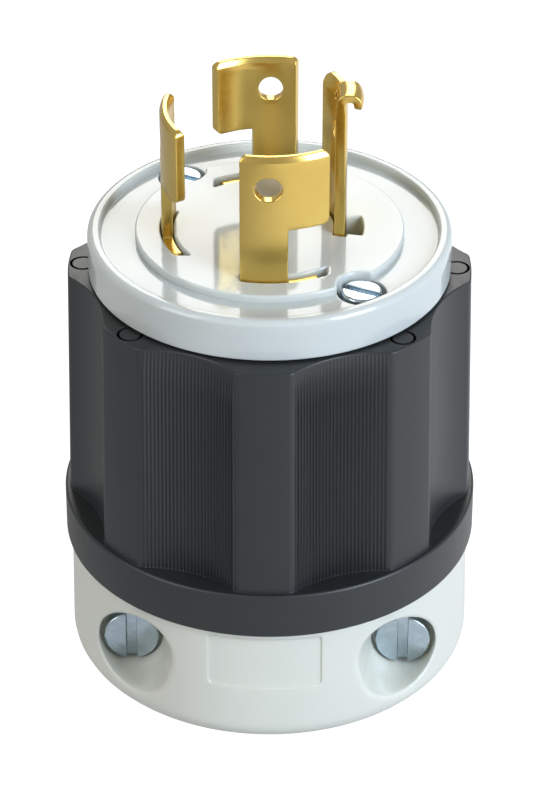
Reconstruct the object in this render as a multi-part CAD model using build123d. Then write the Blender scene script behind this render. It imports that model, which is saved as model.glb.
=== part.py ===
from build123d import *
import math
import os

# Four-blade locking plug for a flexible cord, standing on its cord end.
# Millimetres. The origin is at the centre of the foot, +Z runs towards the blades.
# Angles start at the front, -Y, and grow towards +X, anticlockwise from above.

# Clearances
SEAT_GAP = 0.3
SLOT_GAP = 0.25
SCREW_GAP = 0.08

# Cord cap, the light moulding at the foot
CAP_HEIGHT = 17.8
CAP_RADIUS = 24.85
CAP_FOOT_RADIUS = 24.5
CAP_EDGE = 5.5
CAP_FLOOR = 3.0
CAP_CAVITY_RADIUS = 21.4
SPIGOT_RADIUS = 22.8
SPIGOT_LENGTH = 4.3
SPIGOT_CHAMFER = 0.4
CORD_HOLE_RADIUS = 9.7
CORD_HOLE_EDGE = 1.0
PANEL_WIDTH = 14.2
PANEL_FOOT = 9.9
PANEL_TOP_MARGIN = 0.6
PANEL_DEPTH = 0.4

# Cord clamp inside the cap
CLAMP_SCREW_X = 17.1
CLAMP_SCREW_Z = 8.5
CLAMP_HEAD_RADIUS = 3.5
CLAMP_HEAD_THICKNESS = 1.6
CLAMP_SHANK_RADIUS = 1.75
CLAMP_SEAT_Y = -11.6
CLAMP_SEAT_WALL = 2.3
CLAMP_TIP_Y = 7.5
POCKET_MARGIN = 0.4
POCKET_TAPER = 6.0
JAW_HEIGHT = 10.0
JAW_ARCH = 3.0
JAW_EAR_HALF_WIDTH = 3.4
JAW_EAR_BACK = 4.5
JAW_EAR_DEPTH = 5.5
JAW_CORNER = 2.5
NUT_WIDTH = 5.2
NUT_THICKNESS = 2.5
SADDLE_WALL = 2.7
HEAD_SLOT_WIDTH = 1.3
HEAD_SLOT_DEPTH = 0.8
HEAD_CHAMFER = 0.3

# Long screws that hold face, grip and cap together
LONG_SCREW_CIRCLE = 17.4
LONG_SCREW_ANGLES = (40.0, 220.0)
LONG_SHANK_RADIUS = 1.7
LONG_HEAD_RADIUS = 2.45
LONG_HEAD_THICKNESS = 1.8
LONG_HEAD_DEPTH = 3.0
LONG_SLOT_TURN = 25.0
LONG_HOLE_GAP = 0.2
COUNTERBORE_RADIUS = 2.95
INSERT_RADIUS = 2.9
INSERT_LENGTH = 3.6
INSERT_BELOW_TOP = 0.2
BOSS_WALL = 1.1

# Fluted grip with its band
GRIP_HEIGHT = 36.9
BAND_RADIUS = 26.0
BAND_HEIGHT = 6.2
BAND_EDGE = 0.35
LAND_COUNT = 8
LAND_HALF_ANGLE = 7.6
LAND_FOOT_RADIUS = 25.2
LAND_TOP_RADIUS = 24.6
SCALLOP_DEPTH = 1.5
RIBBED_SCALLOPS = (0, 3, 4, 7)
RIB_COUNT = 27
RIB_DEPTH = 0.2
GRIP_TOP_CHAMFER = 0.3
GRIP_BORE_RADIUS = 20.6
PIN_MARK_RADIUS = 1.5
PIN_MARK_CIRCLE = 22.85
PIN_MARK_DEPTH = 0.15

# Face with its raised rim and disc
FACE_HEIGHT = 5.7
FACE_RADIUS = 22.1
FACE_EDGE = 1.0
FACE_SKIRT = 1.3
RIM_WIDTH = 1.5
CHANNEL_DEPTH = 1.0
DISC_RADIUS = 16.3

# Contact blades
BLADE_THICKNESS = 1.3
BLADE_RADIUS = 13.1
BLADE_HEIGHT = 16.6
BLADE_BEVEL = 0.4
BLADE_BEVEL_DROP = 0.65
STEM_LEFT = -3.1
STEM_RIGHT = 2.4
FLAG_RIGHT = 6.95
FLAG_FOOT = 6.9
FLAG_CORNER = 0.9
ROOT_RIGHT = 6.1
ROOT_BELOW_FACE = 0.5
BLADE_HOLE_RADIUS = 1.55
BLADE_HOLE_X = 0.15
BLADE_HOLE_HEIGHT = 12.4
TANG_LENGTH = 18.0
PHASE_ANGLES = {"blade_x": 0.0, "blade_y": 180.0, "blade_z": 270.0}

# Neutral blade, nearer the axis and hooked outwards at its tip
NEUTRAL_ANGLE = 90.0
NEUTRAL_RADIUS = 9.3
NEUTRAL_HEIGHT = 19.0
NEUTRAL_LEAD = 0.85
NEUTRAL_LEAD_DROP = 2.0
NEUTRAL_LEFT = -1.97
NEUTRAL_RIGHT = 4.85
NEUTRAL_TANG_HALF = 2.9
HOOK_LENGTH = 1.9
HOOK_REACH = NEUTRAL_RADIUS + HOOK_LENGTH
HOOK_DROP = 2.1
HOOK_BEND = 1.1
HOOK_START = -8.0
HOOK_SWEEP = 20.0
HOOK_HOLE_ANGLE = 10.0

# Terminals and the block that holds them
BLOCK_HEIGHT = 26.7
CHAMBER_WIDTH = 7.8
CHAMBER_ROOF = 4.0
CHAMBER_FLOOR = 6.0
CHAMBER_MARGIN = 0.9
WIRE_GAP = 2.3
WIRE_HOLE_RADIUS = 3.0
WIRE_FUNNEL_RADIUS = 4.0
WIRE_FUNNEL_DEPTH = 1.6
PLATE_THICKNESS = 1.6
PLATE_WIDTH = 6.8
PLATE_HEIGHT = 8.0
TERMINAL_DROP = 12.7
TERMINAL_SHANK_RADIUS = 1.9
TERMINAL_HEAD_RADIUS = 3.1
TERMINAL_HEAD_THICKNESS = 1.9
TERMINAL_TIP = 0.7
ACCESS_MARGIN = 0.5

# Heights that follow from the sizes above
GRIP_FOOT = CAP_HEIGHT + SEAT_GAP
BAND_TOP = GRIP_FOOT + BAND_HEIGHT
GRIP_TOP = GRIP_FOOT + GRIP_HEIGHT
FLANGE_FOOT = GRIP_TOP + SEAT_GAP
FACE_TOP = FLANGE_FOOT + FACE_HEIGHT
FACE_FOOT = FLANGE_FOOT - FACE_SKIRT
BLOCK_TOP = FACE_FOOT - SEAT_GAP
BLOCK_FOOT = BLOCK_TOP - BLOCK_HEIGHT
CHAMBER_TOP = BLOCK_TOP - CHAMBER_ROOF
CHAMBER_FOOT = BLOCK_FOOT + CHAMBER_FLOOR
TERMINAL_Z = BLOCK_TOP - TERMINAL_DROP
LONG_SEAT_Z = FACE_TOP - LONG_HEAD_DEPTH
INSERT_TOP = CAP_HEIGHT - INSERT_BELOW_TOP
CAP_TOP = CAP_HEIGHT + SPIGOT_LENGTH
SKIRT_RADIUS = GRIP_BORE_RADIUS - SEAT_GAP
JAW_FOOT = CAP_FLOOR + SEAT_GAP
JAW_STOP_Y = CLAMP_SEAT_Y + CLAMP_SEAT_WALL

ON_BASE = (Align.CENTER, Align.CENTER, Align.MIN)


def upright(radius, foot, top, x=0.0, y=0.0):
    """Round bar along Z."""
    return Pos(x, y, foot) * Cylinder(radius, top - foot, align=ON_BASE)


def along_y(radius, start, end, x=0.0, z=0.0):
    """Round bar along Y."""
    return Pos(x, start, z) * Rot(-90, 0, 0) * Cylinder(radius, end - start, align=ON_BASE)


def block_between(x0, x1, y0, y1, z0, z1):
    """Box between two corners."""
    middle = Pos((x0 + x1) / 2, (y0 + y1) / 2, z0)
    return middle * Box(x1 - x0, y1 - y0, z1 - z0, align=ON_BASE)


def turned(section, start=0.0, sweep=360.0):
    """Turns a section drawn as radius and height about Z."""
    solid = revolve(Plane.XZ * section, Axis.Z, revolution_arc=sweep)
    return Rot(0, 0, start - 90.0) * solid


def closed(points):
    """Face inside a closed run of straight lines."""
    return make_face(Polyline(points, close=True))


def polar(radius, angle):
    """Plan point at an angle from the front."""
    turn = math.radians(angle)
    return radius * math.sin(turn), -radius * math.cos(turn)


def tip_corner(radius, top, cut, drop):
    """One corner of a tip's section, or the two ends of its bevel."""
    return [(radius, top - drop), (radius + cut, top)] if drop else [(radius, top)]


def curved_sheet(outline, inner, outer, foot, top, inner_bevel=(0, 0), outer_bevel=(0, 0)):
    """Cuts an upright outline at the front out of a round wall whose tip may be bevelled."""
    inner_cut, inner_drop = inner_bevel
    outer_cut, outer_drop = outer_bevel
    section = closed(
        [
            (inner, foot),
            (outer, foot),
            *tip_corner(outer, top, -outer_cut, outer_drop),
            *reversed(tip_corner(inner, top, inner_cut, inner_drop)),
        ]
    )
    slab = extrude(Plane.XZ * outline, amount=outer + BLADE_THICKNESS)
    return slab & turned(section)


def slotted_head(radius, thickness, shank_radius, shank_length):
    """Slotted screw along Z, head up, the underside of its head at the origin."""
    head = Cylinder(radius, thickness, align=ON_BASE)
    head = chamfer(head.edges().group_by(Axis.Z)[-1], HEAD_CHAMFER)
    slot = Pos(0, 0, thickness - HEAD_SLOT_DEPTH) * Box(
        HEAD_SLOT_WIDTH, 2 * radius, HEAD_SLOT_DEPTH, align=ON_BASE
    )
    shank = upright(shank_radius, -shank_length, 0)
    return head - slot + shank


# Cord cap


def cap_cavity():
    """Space inside the cap, with corner blocks, cord saddle and rear boss left standing."""
    far = CAP_CAVITY_RADIUS + CAP_EDGE
    boss_radius = INSERT_RADIUS + BOSS_WALL
    front_x = polar(LONG_SCREW_CIRCLE, LONG_SCREW_ANGLES[0])[0]
    rear_x, rear_y = polar(LONG_SCREW_CIRCLE, LONG_SCREW_ANGLES[1])
    corner_x = front_x - boss_radius + BOSS_WALL
    space = upright(CAP_CAVITY_RADIUS, CAP_FLOOR, CAP_TOP)
    for side in (-1, 1):
        inner, outer = sorted((side * corner_x, side * far))
        space -= block_between(inner, outer, -far, JAW_STOP_Y, CAP_FLOOR, CAP_HEIGHT)
    space -= upright(boss_radius, CAP_FLOOR, CAP_HEIGHT, rear_x, rear_y)
    saddle_top = JAW_FOOT + JAW_HEIGHT
    saddle_front = JAW_STOP_Y - SADDLE_WALL
    saddle = block_between(
        -corner_x, corner_x, saddle_front, JAW_STOP_Y, CAP_FLOOR, saddle_top
    )
    saddle -= upright(CORD_HOLE_RADIUS + SEAT_GAP, CAP_FLOOR, saddle_top)
    return space - saddle


def clamp_pocket(x):
    """Tapered pocket that lets a driver reach a clamp screw."""
    seat_radius = CLAMP_HEAD_RADIUS + POCKET_MARGIN
    depth = CAP_RADIUS + CLAMP_SEAT_Y
    mouth_radius = seat_radius + depth * math.tan(math.radians(POCKET_TAPER))
    pocket = Cone(seat_radius, mouth_radius, depth, align=ON_BASE)
    pocket = Pos(x, CLAMP_SEAT_Y, CLAMP_SCREW_Z) * Rot(90, 0, 0) * pocket
    hole_radius = CLAMP_SHANK_RADIUS + SCREW_GAP
    hole = along_y(hole_radius, CLAMP_SEAT_Y, JAW_STOP_Y, x, CLAMP_SCREW_Z)
    return pocket + hole


def cord_cap():
    """Moulded cap with a rounded foot, a cord hole and pockets for the clamp screws."""
    flat = CAP_FOOT_RADIUS - CAP_EDGE
    corner = CAP_EDGE * math.sqrt(0.5)
    outline = Polyline(
        (CAP_FOOT_RADIUS, CAP_EDGE),
        (CAP_RADIUS, CAP_HEIGHT),
        (SPIGOT_RADIUS, CAP_HEIGHT),
        (SPIGOT_RADIUS, CAP_TOP - SPIGOT_CHAMFER),
        (SPIGOT_RADIUS - SPIGOT_CHAMFER, CAP_TOP),
        (0, CAP_TOP),
        (0, 0),
        (flat, 0),
    )
    rounding = ThreePointArc(
        (flat, 0), (flat + corner, CAP_EDGE - corner), (CAP_FOOT_RADIUS, CAP_EDGE)
    )
    body = turned(make_face([*outline.edges(), rounding]))
    body -= cap_cavity()
    body -= upright(CORD_HOLE_RADIUS, 0, CAP_FLOOR)
    lip = body.edges().filter_by(GeomType.CIRCLE).group_by(Axis.Z)[0]
    body = chamfer(lip.sort_by(SortBy.RADIUS)[0], CORD_HOLE_EDGE)
    for x in (-CLAMP_SCREW_X, CLAMP_SCREW_X):
        body -= clamp_pocket(x)
    for angle in LONG_SCREW_ANGLES:
        x, y = polar(LONG_SCREW_CIRCLE, angle)
        body -= upright(INSERT_RADIUS, INSERT_TOP - INSERT_LENGTH, CAP_HEIGHT, x, y)
    return body - name_panel()


def name_panel():
    """Shallow bare panel that follows the curve of the cap."""
    top = CAP_HEIGHT - PANEL_TOP_MARGIN
    outline = closed(
        [
            (-PANEL_WIDTH / 2, PANEL_FOOT),
            (PANEL_WIDTH / 2, PANEL_FOOT),
            (PANEL_WIDTH / 2, top),
            (-PANEL_WIDTH / 2, top),
        ]
    )
    slope = (CAP_RADIUS - CAP_FOOT_RADIUS) / (CAP_HEIGHT - CAP_EDGE)
    foot_radius = CAP_FOOT_RADIUS + slope * (PANEL_FOOT - CAP_EDGE) - PANEL_DEPTH
    top_radius = CAP_FOOT_RADIUS + slope * (top - CAP_EDGE) - PANEL_DEPTH
    section = closed(
        [
            (foot_radius, PANEL_FOOT),
            (BAND_RADIUS, PANEL_FOOT),
            (BAND_RADIUS, top),
            (top_radius, top),
        ]
    )
    return extrude(Plane.XZ * outline, amount=BAND_RADIUS) & turned(section)


# Cord clamp


def clamp_jaw():
    """Arched jaw behind the cord, with an ear for each clamp screw."""
    arch_inner = CORD_HOLE_RADIUS + SEAT_GAP
    arch_outer = arch_inner + JAW_ARCH
    ear_front = JAW_EAR_BACK - JAW_EAR_DEPTH
    ear_outer = CLAMP_SCREW_X + JAW_EAR_HALF_WIDTH
    top = JAW_FOOT + JAW_HEIGHT
    jaw = upright(arch_outer, JAW_FOOT, top)
    jaw &= block_between(-arch_outer, arch_outer, ear_front, arch_outer, JAW_FOOT, top)
    ears = block_between(-ear_outer, ear_outer, ear_front, JAW_EAR_BACK, JAW_FOOT, top)
    front_edges = ears.edges().filter_by(Axis.Z).group_by(Axis.Y)[0]
    jaw += fillet(front_edges, JAW_CORNER)
    jaw -= upright(arch_inner, JAW_FOOT, top)
    recess = NUT_WIDTH / 2 + SCREW_GAP
    seat_y = JAW_EAR_BACK - NUT_THICKNESS
    for x in (-CLAMP_SCREW_X, CLAMP_SCREW_X):
        jaw -= block_between(
            x - recess,
            x + recess,
            seat_y,
            JAW_EAR_BACK,
            CLAMP_SCREW_Z - recess,
            CLAMP_SCREW_Z + recess,
        )
        hole_radius = CLAMP_SHANK_RADIUS + SCREW_GAP
        jaw -= along_y(hole_radius, ear_front, JAW_EAR_BACK, x, CLAMP_SCREW_Z)
    return jaw


def clamp_nut(x):
    """Square nut held in an ear of the jaw."""
    half = NUT_WIDTH / 2
    seat_y = JAW_EAR_BACK - NUT_THICKNESS
    nut = block_between(
        x - half,
        x + half,
        seat_y,
        JAW_EAR_BACK,
        CLAMP_SCREW_Z - half,
        CLAMP_SCREW_Z + half,
    )
    hole_radius = CLAMP_SHANK_RADIUS + SCREW_GAP
    return nut - along_y(hole_radius, seat_y, JAW_EAR_BACK, x, CLAMP_SCREW_Z)


def clamp_screw(x):
    """Slotted screw that draws the jaw forwards."""
    screw = slotted_head(
        CLAMP_HEAD_RADIUS,
        CLAMP_HEAD_THICKNESS,
        CLAMP_SHANK_RADIUS,
        CLAMP_TIP_Y - CLAMP_SEAT_Y,
    )
    return Pos(x, CLAMP_SEAT_Y, CLAMP_SCREW_Z) * Rot(90, 0, 0) * screw


# Long screws


def long_screw(angle):
    """Screw from the face down into the cap."""
    x, y = polar(LONG_SCREW_CIRCLE, angle)
    tip = INSERT_TOP - INSERT_LENGTH
    screw = slotted_head(
        LONG_HEAD_RADIUS, LONG_HEAD_THICKNESS, LONG_SHANK_RADIUS, LONG_SEAT_Z - tip
    )
    return Pos(x, y, LONG_SEAT_Z) * Rot(0, 0, angle + LONG_SLOT_TURN) * screw


def threaded_insert(angle):
    """Bushing in the cap that takes a long screw."""
    x, y = polar(LONG_SCREW_CIRCLE, angle)
    foot = INSERT_TOP - INSERT_LENGTH
    sleeve = upright(INSERT_RADIUS, foot, INSERT_TOP, x, y)
    return sleeve - upright(LONG_SHANK_RADIUS + SCREW_GAP, foot, INSERT_TOP, x, y)


# Grip


def grip_outline(land_radius, mid_radius):
    """Plan of the grip: round lands with hollow scallops between, some of them ribbed."""
    pitch = 360.0 / LAND_COUNT
    edges = []
    for index in range(LAND_COUNT):
        middle = index * pitch
        start = polar(land_radius, middle - LAND_HALF_ANGLE)
        end = polar(land_radius, middle + LAND_HALF_ANGLE)
        edges.append(ThreePointArc(start, polar(land_radius, middle), end))
        far = polar(land_radius, middle + pitch - LAND_HALF_ANGLE)
        hollow = ThreePointArc(end, polar(mid_radius, middle + pitch / 2), far)
        if index in RIBBED_SCALLOPS:
            edges.extend(ribbed(hollow).edges())
        else:
            edges.append(hollow)
    return make_face(edges)


def ribbed(hollow):
    """Turns a hollow arc into a run of V-shaped ribs that stand up from it."""
    points = []
    for step in range(2 * RIB_COUNT + 1):
        place = hollow @ (step / (2 * RIB_COUNT))
        out = math.hypot(place.X, place.Y)
        lift = 1 + (RIB_DEPTH / out if step % 2 else 0.0)
        points.append((place.X * lift, place.Y * lift))
    return Polyline(points)


def scallop_middle(land_radius):
    """Radius at the middle of a scallop, below the straight line between its lands."""
    half = math.radians(180.0 / LAND_COUNT - LAND_HALF_ANGLE)
    return land_radius * math.cos(half) - SCALLOP_DEPTH


def grip_shell():
    """Fluted sleeve that widens downwards into a round band."""
    sections = []
    shoulder = GRIP_TOP - GRIP_TOP_CHAMFER
    band_overlap = BAND_HEIGHT / 2
    rise = (LAND_TOP_RADIUS - LAND_FOOT_RADIUS) / (GRIP_TOP - BAND_TOP)
    levels = (BAND_TOP - band_overlap, shoulder, GRIP_TOP)
    for height, inset in zip(levels, (0.0, 0.0, GRIP_TOP_CHAMFER)):
        radius = LAND_FOOT_RADIUS + rise * (height - BAND_TOP) - inset
        sections.append(Pos(0, 0, height) * grip_outline(radius, scallop_middle(radius)))
    sleeve = loft(sections, ruled=True)
    band = upright(BAND_RADIUS, GRIP_FOOT, BAND_TOP)
    band = chamfer(band.edges().filter_by(GeomType.CIRCLE), BAND_EDGE)
    sleeve += band
    sleeve -= upright(GRIP_BORE_RADIUS, GRIP_FOOT, GRIP_TOP)
    recess_radius = SPIGOT_RADIUS + SEAT_GAP
    sleeve -= upright(recess_radius, GRIP_FOOT, CAP_TOP + SEAT_GAP)
    for index in range(LAND_COUNT):
        x, y = polar(PIN_MARK_CIRCLE, index * 360.0 / LAND_COUNT)
        sleeve -= upright(PIN_MARK_RADIUS, GRIP_TOP - PIN_MARK_DEPTH, GRIP_TOP, x, y)
    return sleeve


# Blades


def stepped_outline(left, stem_right, flag_right, root_right, flag_foot, top, tang):
    """Upright outline of a blade: tang, root, stem and the flag that locks."""
    root_top = FACE_TOP - ROOT_BELOW_FACE
    root_foot = FACE_FOOT
    outline = closed(
        [
            (left, tang),
            (stem_right, tang),
            (stem_right, root_foot),
            (root_right, root_foot),
            (root_right, root_top),
            (stem_right, root_top),
            (stem_right, flag_foot),
            (flag_right, flag_foot),
            (flag_right, top),
            (left, top),
        ]
    )
    corners = [v for v in outline.vertices() if v.Y > flag_foot - FLAG_CORNER]
    inner_corner = Vector(stem_right, flag_foot)
    corners = [v for v in corners if (Vector(v) - inner_corner).length > FLAG_CORNER]
    return fillet(corners, FLAG_CORNER)


def phase_blade(angle):
    """Locking blade: an arc about the axis with a flag on its leading side."""
    inner = BLADE_RADIUS - BLADE_THICKNESS
    top = FACE_TOP + BLADE_HEIGHT
    tang = CHAMBER_TOP - TANG_LENGTH + CHAMBER_ROOF
    outline = stepped_outline(
        STEM_LEFT, STEM_RIGHT, FLAG_RIGHT, ROOT_RIGHT, FACE_TOP + FLAG_FOOT, top, tang
    )
    bevel = (BLADE_BEVEL, BLADE_BEVEL_DROP)
    blade = curved_sheet(outline, inner, BLADE_RADIUS, tang, top, bevel, bevel)
    blade -= along_y(
        BLADE_HOLE_RADIUS, -BLADE_RADIUS, 0, BLADE_HOLE_X, FACE_TOP + BLADE_HOLE_HEIGHT
    )
    blade -= along_y(TERMINAL_SHANK_RADIUS + SCREW_GAP, -BLADE_RADIUS, 0, 0, TERMINAL_Z)
    return Rot(0, 0, angle) * blade


def hook():
    """Tab bent outwards at the tip of the neutral blade, with its end turned down."""
    top = FACE_TOP + NEUTRAL_HEIGHT
    inner = NEUTRAL_RADIUS - BLADE_THICKNESS
    under = top - BLADE_THICKNESS
    lip = HOOK_REACH - BLADE_THICKNESS
    section = closed(
        [
            (inner, under - HOOK_BEND),
            (NEUTRAL_RADIUS, under - HOOK_BEND),
            (NEUTRAL_RADIUS, under),
            (lip, under),
            (lip, top - HOOK_DROP),
            (HOOK_REACH, top - HOOK_DROP),
            (HOOK_REACH, top),
            (inner, top),
        ]
    )
    bends = [v for v in section.vertices() if v.Y > top - BLADE_THICKNESS / 2]
    section = fillet(bends, HOOK_BEND)
    return turned(section, HOOK_START, HOOK_SWEEP)


def neutral_blade():
    """Plain arc strip nearer the axis with a hooked tip."""
    inner = NEUTRAL_RADIUS - BLADE_THICKNESS
    top = FACE_TOP + NEUTRAL_HEIGHT
    tang = CHAMBER_TOP - TANG_LENGTH + CHAMBER_ROOF
    outline = closed(
        [
            (-NEUTRAL_TANG_HALF, tang),
            (NEUTRAL_TANG_HALF, tang),
            (NEUTRAL_TANG_HALF, FACE_FOOT),
            (NEUTRAL_RIGHT, FACE_FOOT),
            (NEUTRAL_RIGHT, top),
            (NEUTRAL_LEFT, top),
            (NEUTRAL_LEFT, BLOCK_TOP),
            (-NEUTRAL_TANG_HALF, BLOCK_TOP),
        ]
    )
    outline = fillet(outline.vertices().group_by(Axis.Y)[-1], FLAG_CORNER)
    lead = (NEUTRAL_LEAD, NEUTRAL_LEAD_DROP)
    blade = curved_sheet(outline, inner, NEUTRAL_RADIUS, tang, top, lead)
    blade += hook()
    hole_height = FACE_TOP + BLADE_HOLE_HEIGHT
    hole = along_y(BLADE_HOLE_RADIUS, -NEUTRAL_RADIUS, 0, 0, hole_height)
    blade -= Rot(0, 0, HOOK_HOLE_ANGLE) * hole
    blade -= along_y(TERMINAL_SHANK_RADIUS + SCREW_GAP, -NEUTRAL_RADIUS, 0, 0, TERMINAL_Z)
    return Rot(0, 0, NEUTRAL_ANGLE) * blade


# Terminals


def plate_outer(radius, half_width):
    """Distance from the axis to the near face of a wire plate."""
    inner = radius - BLADE_THICKNESS
    return math.sqrt(inner**2 - half_width**2) - WIRE_GAP


def wire_plate(angle, radius, half_width):
    """Plate that pinches a wire against the tang of a blade."""
    outer = plate_outer(radius, half_width)
    plate = block_between(
        -PLATE_WIDTH / 2,
        PLATE_WIDTH / 2,
        -outer,
        -outer + PLATE_THICKNESS,
        TERMINAL_Z - PLATE_HEIGHT / 2,
        TERMINAL_Z + PLATE_HEIGHT / 2,
    )
    plate -= along_y(TERMINAL_SHANK_RADIUS + SCREW_GAP, -outer, 0, 0, TERMINAL_Z)
    return Rot(0, 0, angle) * plate


def terminal_screw(angle, radius, half_width):
    """Screw through the tang and into the wire plate."""
    underside = radius + SEAT_GAP
    tip = plate_outer(radius, half_width) - PLATE_THICKNESS - TERMINAL_TIP
    screw = slotted_head(
        TERMINAL_HEAD_RADIUS,
        TERMINAL_HEAD_THICKNESS,
        TERMINAL_SHANK_RADIUS,
        underside - tip,
    )
    screw = Pos(0, -underside, TERMINAL_Z) * Rot(90, 0, 0) * screw
    return Rot(0, 0, angle) * screw


def chamber(angle, radius, half_width, tang):
    """Room for one terminal, with its wire hole, blade slot and screw access."""
    outer = radius + SEAT_GAP + TERMINAL_HEAD_THICKNESS + CHAMBER_MARGIN
    near = plate_outer(radius, half_width)
    inner = near - PLATE_THICKNESS - TERMINAL_TIP - CHAMBER_MARGIN
    half = CHAMBER_WIDTH / 2
    room = block_between(-half, half, -outer, -inner, CHAMBER_FOOT, CHAMBER_TOP)
    wire_y = -(near + WIRE_GAP / 2)
    room += upright(WIRE_HOLE_RADIUS, BLOCK_FOOT, CHAMBER_FOOT, 0, wire_y)
    funnel = Cone(
        WIRE_FUNNEL_RADIUS, WIRE_HOLE_RADIUS, WIRE_FUNNEL_DEPTH, align=ON_BASE
    )
    room += Pos(0, wire_y, BLOCK_FOOT) * funnel
    access = TERMINAL_HEAD_RADIUS + ACCESS_MARGIN
    room += along_y(access, -SKIRT_RADIUS, -radius, 0, TERMINAL_Z)
    room += curved_sheet(
        tang,
        radius - BLADE_THICKNESS - SLOT_GAP,
        radius + SLOT_GAP,
        CHAMBER_TOP,
        BLOCK_TOP,
    )
    return Rot(0, 0, angle) * room


def upright_slot(left, right):
    """Upright outline wider than a blade by the slot clearance."""
    return closed(
        [
            (left - SLOT_GAP, BLOCK_FOOT),
            (right + SLOT_GAP, BLOCK_FOOT),
            (right + SLOT_GAP, FACE_TOP),
            (left - SLOT_GAP, FACE_TOP),
        ]
    )


def terminal_block():
    """Block with four terminal chambers, seated under the face."""
    block = upright(SKIRT_RADIUS, BLOCK_FOOT, BLOCK_TOP)
    for angle in PHASE_ANGLES.values():
        tang = upright_slot(STEM_LEFT, STEM_RIGHT)
        block -= chamber(angle, BLADE_RADIUS, -STEM_LEFT, tang)
    tang = upright_slot(-NEUTRAL_TANG_HALF, NEUTRAL_TANG_HALF)
    block -= chamber(NEUTRAL_ANGLE, NEUTRAL_RADIUS, NEUTRAL_TANG_HALF, tang)
    for angle in LONG_SCREW_ANGLES:
        x, y = polar(LONG_SCREW_CIRCLE, angle)
        block -= upright(LONG_SHANK_RADIUS + LONG_HOLE_GAP, BLOCK_FOOT, BLOCK_TOP, x, y)
    return block


# Face


def face_blank():
    """Face without its slots: rim, sunk channel and raised disc."""
    rim_inner = FACE_RADIUS - RIM_WIDTH
    channel = FACE_TOP - CHANNEL_DEPTH
    section = closed(
        [
            (0, FACE_FOOT),
            (SKIRT_RADIUS, FACE_FOOT),
            (SKIRT_RADIUS, FLANGE_FOOT),
            (FACE_RADIUS, FLANGE_FOOT),
            (FACE_RADIUS, FACE_TOP),
            (rim_inner, FACE_TOP),
            (rim_inner, channel),
            (DISC_RADIUS, channel),
            (DISC_RADIUS, FACE_TOP),
            (0, FACE_TOP),
        ]
    )
    edge = [v for v in section.vertices() if v.X > rim_inner and v.Y > channel]
    edge = [v for v in edge if v.X > FACE_RADIUS - RIM_WIDTH / 2]
    return turned(fillet(edge, FACE_EDGE))


def face_plate():
    """Face with a slot for each blade and a counterbore for each long screw."""
    face = face_blank()
    inner = BLADE_RADIUS - BLADE_THICKNESS - SLOT_GAP
    for angle in PHASE_ANGLES.values():
        slot = curved_sheet(
            upright_slot(STEM_LEFT, FLAG_RIGHT),
            inner,
            BLADE_RADIUS + SLOT_GAP,
            FACE_FOOT,
            FACE_TOP,
        )
        face -= Rot(0, 0, angle) * slot
    neutral_slot = curved_sheet(
        upright_slot(NEUTRAL_LEFT, NEUTRAL_RIGHT),
        NEUTRAL_RADIUS - BLADE_THICKNESS - SLOT_GAP,
        NEUTRAL_RADIUS + SLOT_GAP,
        FACE_FOOT,
        FACE_TOP,
    )
    reach = HOOK_REACH + SLOT_GAP
    passage = closed(
        [
            (NEUTRAL_RADIUS - BLADE_THICKNESS, FACE_FOOT),
            (reach, FACE_FOOT),
            (reach, FACE_TOP),
            (NEUTRAL_RADIUS - BLADE_THICKNESS, FACE_TOP),
        ]
    )
    margin = math.degrees(SLOT_GAP / NEUTRAL_RADIUS)
    neutral_slot += turned(passage, HOOK_START - margin, HOOK_SWEEP + 2 * margin)
    face -= Rot(0, 0, NEUTRAL_ANGLE) * neutral_slot
    for angle in LONG_SCREW_ANGLES:
        x, y = polar(LONG_SCREW_CIRCLE, angle)
        face -= upright(COUNTERBORE_RADIUS, LONG_SEAT_Z, FACE_TOP, x, y)
        face -= upright(LONG_SHANK_RADIUS + LONG_HOLE_GAP, FACE_FOOT, FACE_TOP, x, y)
    return face


def write_terminal(name, angle, radius, half_width):
    """Writes the plate and screw that belong to one blade."""
    export_step(wire_plate(angle, radius, half_width), f"parts/wire_plate_{name}.step")
    export_step(
        terminal_screw(angle, radius, half_width), f"parts/terminal_screw_{name}.step"
    )


def main():
    os.makedirs("parts", exist_ok=True)
    export_step(cord_cap(), "parts/cord_cap.step")
    export_step(grip_shell(), "parts/grip_shell.step")
    export_step(face_plate(), "parts/face_plate.step")
    export_step(terminal_block(), "parts/terminal_block.step")
    export_step(clamp_jaw(), "parts/clamp_jaw.step")
    for name, x in (("left", -CLAMP_SCREW_X), ("right", CLAMP_SCREW_X)):
        export_step(clamp_screw(x), f"parts/clamp_screw_{name}.step")
        export_step(clamp_nut(x), f"parts/clamp_nut_{name}.step")
    for name, angle in zip(("front", "back"), LONG_SCREW_ANGLES):
        export_step(long_screw(angle), f"parts/long_screw_{name}.step")
        export_step(threaded_insert(angle), f"parts/threaded_insert_{name}.step")
    for name, angle in PHASE_ANGLES.items():
        export_step(phase_blade(angle), f"parts/{name}.step")
        write_terminal(name[-1], angle, BLADE_RADIUS, -STEM_LEFT)
    export_step(neutral_blade(), "parts/blade_neutral.step")
    write_terminal("neutral", NEUTRAL_ANGLE, NEUTRAL_RADIUS, NEUTRAL_TANG_HALF)


if __name__ == "__main__":
    main()
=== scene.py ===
"""Looks of a four-blade locking plug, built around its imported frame.

The frame gives the heights and the outer radii, and the fields of the classes give the rest. Shapes are
worked out in millimetres. Angles start at the front, -Y, and grow towards +X, anticlockwise from above.
"""

import logging
import math
from dataclasses import dataclass, field
from enum import Enum
from typing import Callable, Optional, Sequence

import bmesh
import bpy
import numpy as np
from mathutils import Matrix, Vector
from mathutils.geometry import delaunay_2d_cdt

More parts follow.
